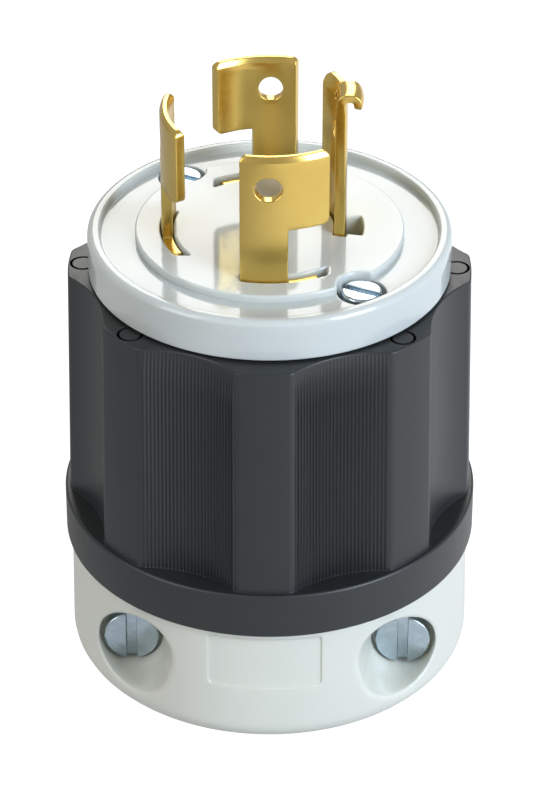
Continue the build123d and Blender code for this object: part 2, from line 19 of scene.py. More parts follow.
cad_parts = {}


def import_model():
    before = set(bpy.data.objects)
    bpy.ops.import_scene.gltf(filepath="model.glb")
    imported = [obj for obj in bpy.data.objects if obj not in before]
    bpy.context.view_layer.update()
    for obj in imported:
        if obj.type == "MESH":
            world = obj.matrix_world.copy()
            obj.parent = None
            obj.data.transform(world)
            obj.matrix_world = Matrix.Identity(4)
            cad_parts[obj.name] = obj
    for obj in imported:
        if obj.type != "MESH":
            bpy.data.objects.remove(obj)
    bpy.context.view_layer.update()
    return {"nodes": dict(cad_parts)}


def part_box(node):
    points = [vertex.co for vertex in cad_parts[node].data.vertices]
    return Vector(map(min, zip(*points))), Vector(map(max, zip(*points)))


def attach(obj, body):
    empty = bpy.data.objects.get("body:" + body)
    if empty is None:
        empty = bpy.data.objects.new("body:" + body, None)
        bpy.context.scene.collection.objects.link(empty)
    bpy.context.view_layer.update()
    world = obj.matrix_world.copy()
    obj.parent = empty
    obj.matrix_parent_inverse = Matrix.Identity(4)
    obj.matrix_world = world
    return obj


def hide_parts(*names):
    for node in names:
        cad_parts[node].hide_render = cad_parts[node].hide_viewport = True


LOG = logging.getLogger("plug")

Array = np.ndarray
Place = Callable[[Array], Array]

MM = 0.001
WELD = 1e-6
SHARP_ANGLE = math.radians(42.0)
ROUND_COLUMNS = 360
CORNER_POINTS = 7
QUARTER = np.radians(np.linspace(0.0, 90.0, 6))

# Points on each radian of a rounded corner, and as many more for each root of its radius in mm
ARC_POINTS = 3
# Points tested together against a loop's edges, which keeps the arrays small
POINTS_AT_ONCE = 4000
# Gap between a filled loop and its lattice, in spacings
LATTICE_GAP = 0.6
# Distance in mm within which the triangulation joins points
SAME_POINT = 1e-6


class Body(Enum):
    """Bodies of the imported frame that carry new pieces."""

    PLUG = "plug"


class Slot(Enum):
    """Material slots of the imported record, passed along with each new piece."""

    LIGHT_NYLON = "light_nylon"
    DARK_NYLON = "dark_nylon"
    ZINC_STEEL = "zinc_steel"
    BRASS = "brass"


# Plan and profile curves


def polar(radius: Array, degrees: Array) -> Array:
    """Plan points at a radius and an angle: x is radius times sine, y is minus radius times cosine.

    Args:
        radius: Distance from the axis, in mm.
        degrees: Angle from the front.

    Returns:
        Points with x and y on the last axis.
    """
    turn = np.radians(degrees)
    return np.stack((radius * np.sin(turn), -radius * np.cos(turn)), axis=-1)


def round_angles(columns: int = ROUND_COLUMNS) -> Array:
    """Angles of a full turn, evenly spaced."""
    return np.linspace(0.0, 360.0, columns, endpoint=False)


def arc(radius: float, start: float, end: float, step: float) -> Array:
    """Plan points of an arc about the axis, about a step apart."""
    count = max(4, int(abs(math.radians(end - start)) * radius / step) + 1)
    return polar(radius, np.linspace(start, end, count))


def lengths_along(path: Array) -> Array:
    """Length from the start of a path to each of its points."""
    legs = np.linalg.norm(np.diff(path, axis=0), axis=1)
    return np.concatenate(([0.0], np.cumsum(legs)))


def resampled(run: Array, before: float, after: float, count: int) -> Array:
    """Points spaced evenly along a run, from a length after its start to a length before its end.

    Args:
        run: Points along the run.
        before: Length left out at the start, in mm.
        after: Length left out at the end, in mm.
        count: Number of points wanted.

    Returns:
        Points found by linear interpolation over the length along the run.
    """
    along = lengths_along(run)
    places = np.linspace(before, along[-1] - after, count)
    return np.column_stack([np.interp(places, along, run[:, axis]) for axis in (0, 1)])


def round_loop(radius: float, columns: int, centre: Sequence[float]) -> Array:
    """Points of a circle about a centre in plan."""
    return polar(radius, round_angles(columns)) + centre


def parabola(share: Array, start: Array, corner: Array, end: Array) -> Array:
    """Soft corner at shares t: (1 - t)^2 of its start, 2 t (1 - t) of the corner and t^2 of its end."""
    return (1 - share) ** 2 * start + 2 * share * (1 - share) * corner + share**2 * end


def joined_loop(
    runs: Sequence[Array], leg: float, counts: Sequence[int]
) -> tuple[Array, list[int]]:
    """Closed loop through runs laid end to end, with soft corners.

    Args:
        runs: Runs of points, each starting where the one before ends.
        leg: Length that a corner takes from each of its runs, in mm.
        counts: Points on each run.

    Returns:
        The loop, and the index of the middle point of the corner at each run's end.
    """
    share = np.linspace(0.0, 1.0, CORNER_POINTS + 2)[1:-1, None]
    trimmed = [resampled(run, leg, leg, count) for run, count in zip(runs, counts)]
    stretches, marks, total = [], [], 0
    for index, run in enumerate(trimmed):
        after = trimmed[(index + 1) % len(trimmed)][0]
        corner = runs[index][-1]
        stretches += [run, parabola(share, run[-1], corner, after)]
        marks.append(total + len(run) + CORNER_POINTS // 2)
        total += len(run) + CORNER_POINTS
    return np.concatenate(stretches), marks


def step_counts(runs: Sequence[Array], step: float) -> list[int]:
    """Number of points that puts them about a step apart on each run."""
    return [max(2, int(lengths_along(run)[-1] / step) + 1) for run in runs]


def linked(arcs: Sequence[Array]) -> list[Array]:
    """Closed row of runs: some arcs, with a straight run from each to the next.

    Args:
        arcs: Points of each arc, in order.

    Returns:
        Arc, straight run, arc and so on.
    """
    runs = []
    for run, following in zip(arcs, (*arcs[1:], arcs[0])):
        runs += [run, np.stack((run[-1], following[0]))]
    return runs


def rounded_path(
    corners: Sequence[tuple[float, float, float]], closed: bool = False, step: float = 0.0
) -> Array:
    """Straight runs between corners, each corner a circular arc of its own radius.

    The arc starts radius / tan(half the inner angle) before the corner and turns about a centre on the
    bisector, with its points found by turning one radius into the other.

    Args:
        corners: Two coordinates and a rounding radius for each corner, in mm.
        closed: True if the last corner joins the first.
        step: Longest straight stretch between points, or 0 for none added.

    Returns:
        Points along the path.
    """
    points = np.array([corner[:2] for corner in corners], float)
    stretches: list[Array] = []
    for index, (point, corner) in enumerate(zip(points, corners)):
        radius = corner[2]
        end = not closed and index in (0, len(points) - 1)
        if end or radius == 0.0:
            stretches.append(point[None])
            continue
        back = points[index - 1] - point
        ahead = points[(index + 1) % len(points)] - point
        back, ahead = back / np.linalg.norm(back), ahead / np.linalg.norm(ahead)
        half = math.acos(float(np.clip(back @ ahead, -1.0, 1.0))) / 2
        middle = (back + ahead) / np.linalg.norm(back + ahead)
        centre = point + middle * radius / math.sin(half)
        first = point + back * radius / math.tan(half) - centre
        last = point + ahead * radius / math.tan(half) - centre
        sweep = math.pi - 2 * half
        share = np.linspace(0.0, 1.0, max(4, int(sweep * ARC_POINTS * (1 + math.sqrt(radius))) + 1))
        turn = np.sin((1 - share) * sweep)[:, None] * first + np.sin(share * sweep)[:, None] * last
        stretches.append(centre + turn / math.sin(sweep))
    path = np.concatenate(stretches)
    return divided(path, closed, step) if step else path


def divided(path: Array, closed: bool, step: float) -> Array:
    """Adds points to a path so that no stretch is longer than a step.

    Args:
        path: Points along the path.
        closed: True if the last point joins the first.
        step: Longest stretch wanted, in mm.

    Returns:
        The path with its stretches cut into equal parts.
    """
    ends = np.roll(path, -1, axis=0) if closed else np.concatenate((path[1:], path[-1:]))
    counts = np.maximum(1, np.ceil(np.linalg.norm(ends - path, axis=1) / step).astype(int))
    start = np.repeat(path, counts, axis=0)
    end = np.repeat(ends, counts, axis=0)
    place = np.arange(counts.sum()) - np.repeat(np.cumsum(counts) - counts, counts)
    return start + (end - start) * (place / np.repeat(counts, counts))[:, None]


def outward(loop: Array) -> Array:
    """Unit normals of a closed anticlockwise loop: its central-difference tangents turned clockwise.

    Args:
        loop: Plan points.

    Returns:
        One direction for each point.
    """
    tangent = np.roll(loop, -1, axis=0) - np.roll(loop, 1, axis=0)
    tangent /= np.linalg.norm(tangent, axis=1, keepdims=True)
    return np.column_stack((tangent[:, 1], -tangent[:, 0]))


def inside(points: Array, loops: Sequence[Array]) -> Array:
    """True for points that lie inside an odd number of loops, by counting crossed edges.

    Args:
        points: Plan points to test.
        loops: Closed loops in plan.

    Returns:
        True or false for each point.
    """
    crossings = np.zeros(len(points), int)
    for loop in loops:
        x0, y0 = loop[:, 0], loop[:, 1]
        x1, y1 = np.roll(x0, -1), np.roll(y0, -1)
        for part in np.array_split(np.arange(len(points)), len(points) // POINTS_AT_ONCE + 1):
            x, y = points[part, 0, None], points[part, 1, None]
            spans = (y0 > y) != (y1 > y)
            rise = np.where(y1 == y0, 1.0, y1 - y0)
            crossings[part] += (spans & (x < x0 + (y - y0) * (x1 - x0) / rise)).sum(axis=1)
    return crossings % 2 == 1


def filled(
    loops: Sequence[Array], spacing: float = 0.0, inner: Optional[Array] = None
) -> tuple[Array, Array]:
    """Triangles that fill an outer loop around its holes.

    They are the Delaunay triangles of the loops and of a lattice inside them, kept where their centre lies
    inside an odd number of loops.

    Args:
        loops: The outer loop and the holes.
        spacing: Spacing of the lattice in mm, or 0 for no lattice.
        inner: Points inside that the triangles must use.

    Returns:
        Plan points and rows of three indices.
    """
    outline = np.concatenate(loops)
    if inner is not None:
        outline = np.concatenate((outline, inner[inside(inner, loops)]))
    points = outline
    if spacing:
        low, high = outline.min(axis=0), outline.max(axis=0)
        x, y = np.meshgrid(*(np.arange(a + spacing / 2, b, spacing) for a, b in zip(low, high)))
        x[::2] += spacing / 2
        lattice = np.column_stack((x.ravel(), y.ravel()))
        lattice = lattice[inside(lattice, loops)]
        near = [np.hypot(*(lattice - point).T) < spacing * LATTICE_GAP for point in outline[::2]]
        points = np.concatenate((outline, lattice[~np.any(near, axis=0)]))
    edges, start = [], 0
    for loop in loops:
        index = np.arange(start, start + len(loop))
        edges += np.column_stack((index, np.roll(index, -1))).tolist()
        start += len(loop)
    vectors = [Vector(point) for point in points.tolist()]
    made, _, faces, origins, _, _ = delaunay_2d_cdt(vectors, edges, [], 0, SAME_POINT)
    plan = np.array([points[ids[0]] if ids else tuple(at) for ids, at in zip(origins, made)])
    triangles = np.array(faces)
    return plan, triangles[inside(plan[triangles].mean(axis=1), loops)]


def at_height(height: float) -> Place:
    """Puts plan points at one height."""
    return lambda plan: np.column_stack((plan, np.full(len(plan), height)))


def turned(profile: Array, columns: int = ROUND_COLUMNS) -> Array:
    """Turns a profile of radius and height about the axis.

    Args:
        profile: Radius and height of each row, in mm.
        columns: Points round the turn.

    Returns:
        Rows x columns x 3 points.
    """
    plan = polar(profile[:, :1], round_angles(columns)[None, :])
    height = np.broadcast_to(profile[:, 1:], plan.shape[:2])
    return np.dstack((plan, height))


def edge_rings(loop: Array, inward: Array, edge: Array | float, top: float) -> Array:
    """Rings of a rounded upper edge: a quarter circle from the flat top down to the wall.

    Args:
        loop: Wall loop in plan.
        inward: Unit directions from the wall into the material.
        edge: Rounding radius, one value or one for each point.
        top: Height of the flat top.

    Returns:
        Rows x columns x 3 points, the first row on the top and the last on the wall.
    """
    edge = np.broadcast_to(edge, len(loop))[None, :, None]
    turn = QUARTER[:, None, None]
    plan = loop[None] + inward[None] * edge * (1 - np.sin(turn))
    return np.concatenate((plan, top - edge * (1 - np.cos(turn))), axis=2)


def wall_rings(loop: Array, heights: Sequence[float]) -> Array:
    """Rings of an upright wall at some heights."""
    return np.stack([at_height(height)(loop) for height in heights])


# Meshes


@dataclass
class Shape:
    """Patches of one mesh, gathered in millimetres."""

    points: list[Array] = field(default_factory=list)
    faces: list[list[int]] = field(default_factory=list)
    count: int = 0

    def add(self, points: Array, faces: Array) -> None:
        """Adds points and the faces between them.

        Args:
            points: Rows of three coordinates.
            faces: Rows of indices into those points.
        """
        self.faces += (np.asarray(faces) + self.count).tolist()
        self.points.append(np.asarray(points, float))
        self.count += len(points)

    def grid(self, points: Array, closed: bool = True) -> None:
        """Adds a quad between each four neighbours of a grid.

        Args:
            points: Rows x columns x 3 points.
            closed: True if the last column joins the first.
        """
        rows, columns = points.shape[:2]
        index = np.arange(rows * columns).reshape(rows, columns)
        here = index if closed else index[:, :-1]
        after = np.roll(index, -1, axis=1) if closed else index[:, 1:]
        quads = np.stack((here[:-1], after[:-1], after[1:], here[1:]), axis=-1)
        self.add(points.reshape(-1, 3), quads.reshape(-1, 4))

    def fill(self, loops: Sequence[Array], place: Place, spacing: float = 0.0) -> None:
        """Fills loops in plan and puts the points where place says."""
        plan, triangles = filled(loops, spacing)
        self.add(place(plan), triangles)

    def moved(self, place: Place) -> "Shape":
        """The same faces with every point put where place says."""
        return Shape([place(points) for points in self.points], self.faces, self.count)

    def mesh(self, name: str) -> bpy.types.Mesh:
        """Makes the mesh in metres, welded, with its faces turned outwards and smooth.

        Args:
            name: Name of the mesh.

        Returns:
            The mesh.
        """
        mesh = bpy.data.meshes.new(name)
        mesh.from_pydata(np.concatenate(self.points) * MM, [], self.faces)
        work = bmesh.new()
        work.from_mesh(mesh)
        bmesh.ops.remove_doubles(work, verts=work.verts, dist=WELD)
        bmesh.ops.dissolve_degenerate(work, edges=work.edges, dist=WELD)
        bmesh.ops.recalc_face_normals(work, faces=work.faces)
        open_edges = sum(edge.is_boundary for edge in work.edges)
        LOG.info("%s: %d faces, %d open edges", name, len(work.faces), open_edges)
        work.to_mesh(mesh)
        work.free()
        mesh.shade_smooth()
        mesh.set_sharp_from_angle(angle=SHARP_ANGLE)
        return mesh


def make_piece(
    name: str,
    shape: Shape,
    material: bpy.types.Material,
    slot: Slot,
    nodes: Sequence[str] = (),
    body: Body = Body.PLUG,
) -> bpy.types.Object:
    """Makes one finished piece, puts it on its body and hides the nodes that it stands for.

    Args:
        name: Name of the piece.
        shape: Its patches.
        material: Its finish.
        slot: Slot of the record that the finish belongs to; not used.
        nodes: Nodes of the frame that it replaces.
        body: Body that it rides on.

    Returns:
        The new object.
    """
    piece = bpy.data.objects.new(name, shape.mesh(name))
    bpy.context.scene.collection.objects.link(piece)
    piece.data.materials.append(material)
    weighted = piece.modifiers.new("flat_faces_first", "WEIGHTED_NORMAL")
    weighted.keep_sharp = True
    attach(piece, body.value)
    if nodes:
        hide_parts(*nodes)
    return piece


def slab(
    loops: Sequence[Array],
    thickness: float,
    edge: float,
    place: Place,
    spacing: float,
    inner: Array,
) -> Shape:
    """Closed slab with rounded edges, drawn flat and then put in place.

    Every loop is carried along one profile: a quarter circle, the straight side and a quarter circle.

    Args:
        loops: Outer loop and holes, all anticlockwise.
        thickness: Thickness in mm; the outer face is at depth 0.
        edge: Rounding radius of the edges.
        place: Maps rows of across, up and depth to points.
        spacing: Spacing of the points inside the faces.
        inner: Points that the faces hold besides.

    Returns:
        The slab's patches.
    """
    shape = Shape()
    rims = []
    for index, loop in enumerate(loops):
        inward = outward(loop) if index else -outward(loop)
        upper = edge_rings(loop, inward, edge, 0.0)
        lower = upper[::-1].copy()
        lower[:, :, 2] = -thickness - lower[:, :, 2]
        shape.grid(np.concatenate((upper, lower)))
        rims.append(upper[0, :, :2])
    plan, triangles = filled(rims, spacing, inner)
    shape.add(at_height(0.0)(plan), triangles)
    shape.add(at_height(-thickness)(plan), triangles)
    return shape.moved(place)


# Finishes


def linear(code: str) -> tuple[float, float, float, float]:
    """Turns an sRGB hex colour such as "#c8a24a" into linear red, green, blue and alpha.

    Args:
        code: The hex colour.

    Returns:
        Four values from 0 to 1.
    """
    parts = [int(code[start : start + 2], 16) / 255 for start in (1, 3, 5)]
    red, green, blue = (
        part / 12.92 if part <= 0.04045 else ((part + 0.055) / 1.055) ** 2.4 for part in parts
    )
    return (red, green, blue, 1.0)


def add_node(
    tree: bpy.types.NodeTree, kind: str, inputs: Optional[dict] = None, **settings: object
) -> bpy.types.Node:
    """Adds a node, sets its properties, and fills or links its inputs.

    Args:
        tree: Tree that takes the node.
        kind: Type name of the node.
        inputs: Values or output sockets by input name or index.
        **settings: Properties of the node.

    Returns:
        The new node.
    """
    made = tree.nodes.new(kind)
    for name, value in settings.items():
        setattr(made, name, value)
    for name, value in (inputs or {}).items():
        if isinstance(value, bpy.types.NodeSocket):
            tree.links.new(value, made.inputs[name])
        else:
            made.inputs[name].default_value = value
    return made


def new_tree(name: str) -> tuple[bpy.types.Material, bpy.types.NodeTree]:
    """Makes an empty node material.

    Args:
        name: Name of the material.

    Returns:
        The material and its tree.
    """
    material = bpy.data.materials.new(name)
    material.use_nodes = True
    material.node_tree.nodes.clear()
    return material, material.node_tree


def per_metre(period: float) -> float:
    """Noise scale on object coordinates whose cells are about a period across, in mm."""
    return 1.0 / (period * MM)


@dataclass(frozen=True)
class MouldedNylon:
    """Injection-moulded nylon: even, slightly cloudy colour, a soft gloss and a faint mould texture."""

    name: str
    colour: str
    tint: str
    roughness: float
    uneven: float
    cloud_mm: float
    grain_mm: float
    grain_depth: float
    scatter: float = 0.0
    scatter_mm: float = 2.0
    scatter_radius: tuple[float, float, float] = (1.0, 0.9, 0.7)
    ior: float = 1.53

    def build(self) -> bpy.types.Material:
        """Makes the material: broad clouds tint it and vary its gloss, a fine grain is its texture.

        Returns:
            The material.
        """
        material, tree = new_tree(self.name)
        place = add_node(tree, "ShaderNodeTexCoord").outputs["Object"]
        cells = {"Vector": place, "Scale": per_metre(self.cloud_mm), "Detail": 3.0}
        cloud = add_node(tree, "ShaderNodeTexNoise", cells).outputs["Fac"]
        cells = {"Vector": place, "Scale": per_metre(self.grain_mm), "Detail": 2.0}
        grain = add_node(tree, "ShaderNodeTexNoise", cells).outputs["Fac"]
        colours = {0: cloud, 6: linear(self.colour), 7: linear(self.tint)}
        low, high = self.roughness - self.uneven, self.roughness + self.uneven
        gloss = {"Value": cloud, "To Min": low, "To Max": high}
        relief = {"Height": grain, "Distance": self.grain_depth * MM, "Strength": 1.0}
        look = {
            "Base Color": add_node(tree, "ShaderNodeMix", colours, data_type="RGBA").outputs[2],
            "Roughness": add_node(tree, "ShaderNodeMapRange", gloss).outputs["Result"],
            "Normal": add_node(tree, "ShaderNodeBump", relief).outputs["Normal"],
            "IOR": self.ior,
            "Subsurface Weight": self.scatter,
            "Subsurface Scale": self.scatter_mm * MM,
            "Subsurface Radius": self.scatter_radius,
        }
        surface = add_node(tree, "ShaderNodeBsdfPrincipled", look).outputs["BSDF"]
        add_node(tree, "ShaderNodeOutputMaterial", {"Surface": surface})
        return material


@dataclass(frozen=True)
class BrushedBrass:
    """Rolled yellow brass, stamped: a golden mirror blurred up and down by fine level rolling lines."""

    name: str = "brushed_brass"
    colour: str = "#e6c873"
    tarnish: str = "#d4b25e"
    polished: float = 0.16
    dull: float = 0.3
    line_mm: float = 0.14
    line_stretch: float = 0.05
    line_depth: float = 0.0012
    stain_mm: float = 5.0

    def build(self) -> bpy.types.Material:
        """Makes the material: a noise drawn out level makes the lines, a broad one the slight tarnish.

        Returns:
            The material.
        """
        material, tree = new_tree(self.name)
        place = add_node(tree, "ShaderNodeTexCoord").outputs["Object"]
        stretch = {"Vector": place, "Scale": (self.line_stretch, self.line_stretch, 1.0)}
        drawn = add_node(tree, "ShaderNodeMapping", stretch).outputs["Vector"]
        cells = {"Vector": drawn, "Scale": per_metre(self.line_mm), "Detail": 2.0}
        lines = add_node(tree, "ShaderNodeTexNoise", cells).outputs["Fac"]
        cells = {"Vector": place, "Scale": per_metre(self.stain_mm), "Detail": 3.0}
        stain = add_node(tree, "ShaderNodeTexNoise", cells).outputs["Fac"]
        colours = {0: stain, 6: linear(self.colour), 7: linear(self.tarnish)}
        gloss = {"Value": lines, "To Min": self.polished, "To Max": self.dull}
        relief = {"Height": lines, "Distance": self.line_depth * MM, "Strength": 1.0}
        look = {
            "Base Color": add_node(tree, "ShaderNodeMix", colours, data_type="RGBA").outputs[2],
            "Metallic": 1.0,
            "Roughness": add_node(tree, "ShaderNodeMapRange", gloss).outputs["Result"],
            "Normal": add_node(tree, "ShaderNodeBump", relief).outputs["Normal"],
        }
        surface = add_node(tree, "ShaderNodeBsdfPrincipled", look).outputs["BSDF"]
        add_node(tree, "ShaderNodeOutputMaterial", {"Surface": surface})
        return material


RING_ATTRIBUTE = "turning_radius"


@dataclass(frozen=True)
class ZincSteel:
    """Turned steel with bright zinc plating: cool grey, with rings left by the cutting tool."""

    name: str = "zinc_plated_steel"
    colour: str = "#c6d2da"
    shade: str = "#9fb0bd"
    roughness: float = 0.22
    ring_mm: float = 0.34
    ring_depth: float = 0.012
    blotch_mm: float = 1.2

    def build(self) -> bpy.types.Material:
        """Makes the material: a sine of the distance from the screw's axis cuts the rings.

        Returns:
            The material.
        """
        material, tree = new_tree(self.name)
        place = add_node(tree, "ShaderNodeTexCoord").outputs["Object"]
        from_axis = add_node(tree, "ShaderNodeAttribute", attribute_name=RING_ATTRIBUTE)
        turns = {0: from_axis.outputs["Fac"], 1: 2 * math.pi / self.ring_mm}
        phase = add_node(tree, "ShaderNodeMath", turns, operation="MULTIPLY").outputs[0]
        rings = add_node(tree, "ShaderNodeMath", {0: phase}, operation="SINE").outputs[0]
        cells = {"Vector": place, "Scale": per_metre(self.blotch_mm), "Detail": 4.0}
        blotch = add_node(tree, "ShaderNodeTexNoise", cells).outputs["Fac"]
        worn = {0: rings, 1: blotch}
        height = add_node(tree, "ShaderNodeMath", worn, operation="MULTIPLY").outputs[0]
        colours = {0: blotch, 6: linear(self.colour), 7: linear(self.shade)}
        relief = {"Height": height, "Distance": self.ring_depth * MM, "Strength": 1.0}
        look = {
            "Base Color": add_node(tree, "ShaderNodeMix", colours, data_type="RGBA").outputs[2],
            "Metallic": 1.0,
            "Roughness": self.roughness,
            "Normal": add_node(tree, "ShaderNodeBump", relief).outputs["Normal"],
        }
        surface = add_node(tree, "ShaderNodeBsdfPrincipled", look).outputs["BSDF"]
        add_node(tree, "ShaderNodeOutputMaterial", {"Surface": surface})
        return material


# Natural nylon of the cap: milky and warm, with a satin gloss
LIGHT_NYLON = MouldedNylon(
    name="moulded_light_nylon",
    colour="#dfe0d6",
    tint="#d8dad0",
    roughness=0.24,
    uneven=0.05,
    cloud_mm=9.0,
    grain_mm=0.6,
    grain_depth=0.004,
    scatter=0.35,
)
# Polished natural nylon of the face that mirrors the blades; its cooler, darker white is the cap's nylon
# with painted shade of the flange
FACE_NYLON_PAINTED_SHADE = MouldedNylon(
    name="polished_light_nylon_painted_shade",
    colour="#ced3d0",
    tint="#c8cecc",
    roughness=0.08,
    uneven=0.02,
    cloud_mm=7.0,
    grain_mm=0.9,
    grain_depth=0.003,
    scatter=0.35,
)
# Charcoal nylon of the grip: satin, near black in the hollows
DARK_NYLON = MouldedNylon(
    name="moulded_dark_nylon",
    colour="#202325",
    tint="#252728",
    roughness=0.42,
    uneven=0.05,
    cloud_mm=6.0,
    grain_mm=0.22,
    grain_depth=0.006,
)
# Ivory nylon of the terminal block and the jaw: matt
BLOCK_NYLON = MouldedNylon(
    name="moulded_block_nylon",
    colour="#d9d6c8",
    tint="#cfccbd",
    roughness=0.4,
    uneven=0.05,
    cloud_mm=6.0,
    grain_mm=0.3,
    grain_depth=0.006,
)


# Sub-assemblies


@dataclass
class Screw:
    """Slotted screw, drawn with its axis up and the underside of its head at height 0."""

    head_radius: float
    head_height: float
    slot_width: float
    slot_depth: float
    shank_radius: float
    shank_length: float
    head_edge: float = 0.3
    slot_edge: float = 0.1
    crown: float = 0.1
    thread_pitch: float = 0.8
    thread_depth: float = 0.3
    head_rows: int = 40
    section_step: float = 0.25
    shank_columns: int = 40
    rows_per_turn: int = 8
    root_fade: float = 2.0
    tip_fade: float = 1.0

    def head(self) -> Array:
        """Closed grid of the head.

        Columns run across the slot, and their top height follows the slot's section. Along a column the
        points go over the underside, up the wall, round the edge, across the top between plus and minus
        the half chord, and back. The two end columns are poles.

        Returns:
            Rows x columns x 3 points.
        """
        flat = self.head_radius - self.head_edge
        half, floor = self.slot_width / 2, self.head_height - self.slot_depth
        side = rounded_path(
            [
                (-flat, self.head_height, 0.0),
                (-half, self.head_height, self.slot_edge),
                (-half, floor, self.slot_edge),
                (half, floor, self.slot_edge),
                (half, self.head_height, self.slot_edge),
                (flat, self.head_height, 0.0),
            ],
            step=self.section_step,
        )
        x, top = np.clip(side[:, 0], -flat, flat), side[:, 1]
        chord = np.sqrt(np.maximum(flat**2 - x**2, 0.0))
        share = np.cos(np.linspace(math.pi, 0.0, self.head_rows))[:, None]
        y = share * chord
        rise = self.crown * (1 - (x**2 + y**2) / flat**2)
        upper = np.dstack((np.broadcast_to(x, y.shape), y, top + rise))
        turn = QUARTER[1:, None]
        out = (flat + self.head_edge * np.sin(turn)) / flat
        drop = top - self.head_edge * (1 - np.cos(turn))
        far = np.dstack((x * out, chord * out, drop))
        near = far * (1, -1, 1)
        full = self.head_radius / flat
        under = np.dstack((np.broadcast_to(x * full, y.shape), -y * full, np.zeros(y.shape)))
        return np.concatenate((under, near[::-1], upper, far, under[:1]))

    def shank(self) -> Array:
        """Closed grid of the threaded shank.

        The radius is the shank's less half the thread's depth times one minus the cosine of
        2 pi (height / pitch - angle / 360), fading to nothing at both ends.

        Returns:
            Rows x columns x 3 points.
        """
        rows = int(self.shank_length / self.thread_pitch * self.rows_per_turn)
        height = np.linspace(0.0, -self.shank_length, rows)[:, None]
        angle = round_angles(self.shank_columns)[None, :]
        wave = 1 - np.cos(2 * math.pi * (height / self.thread_pitch - angle / 360))
        fade = np.clip(-height / self.root_fade, 0, 1)
        fade = fade * np.clip((height + self.shank_length) / self.tip_fade, 0, 1)
        radius = self.shank_radius - self.thread_depth / 2 * wave * fade
        grid = np.dstack((polar(radius, angle), np.broadcast_to(height, radius.shape)))
        upright = (0, 0, 1)
        return np.concatenate((grid[:1] * upright, grid, grid[-1:] * upright))

    def shape(self) -> Shape:
        """Head and shank together.

        Returns:
            The screw, upright, with its head's underside at height 0.
        """
        shape = Shape()
        shape.grid(self.head(), closed=False)
        shape.grid(self.shank())
        return shape

    def piece(
        self, name: str, place: Place, axis: Place, material: bpy.types.Material
    ) -> bpy.types.Object:
        """Makes the screw and stores each point's distance from its axis for the turning rings.

        Args:
            name: Node that the screw replaces.
            place: Maps the upright drawing to its place.
            axis: Gives the distance from the axis of points in place, in mm.
            material: Its finish.

        Returns:
            The new object.
        """
        piece = make_piece(f"{name}_turned", self.shape().moved(place), material, Slot.ZINC_STEEL, [name])
        spots = np.zeros(len(piece.data.vertices) * 3)
        piece.data.vertices.foreach_get("co", spots)
        rings = piece.data.attributes.new(RING_ATTRIBUTE, "FLOAT", "POINT")
        rings.data.foreach_set("value", axis(spots.reshape(-1, 3) / MM))
        return piece


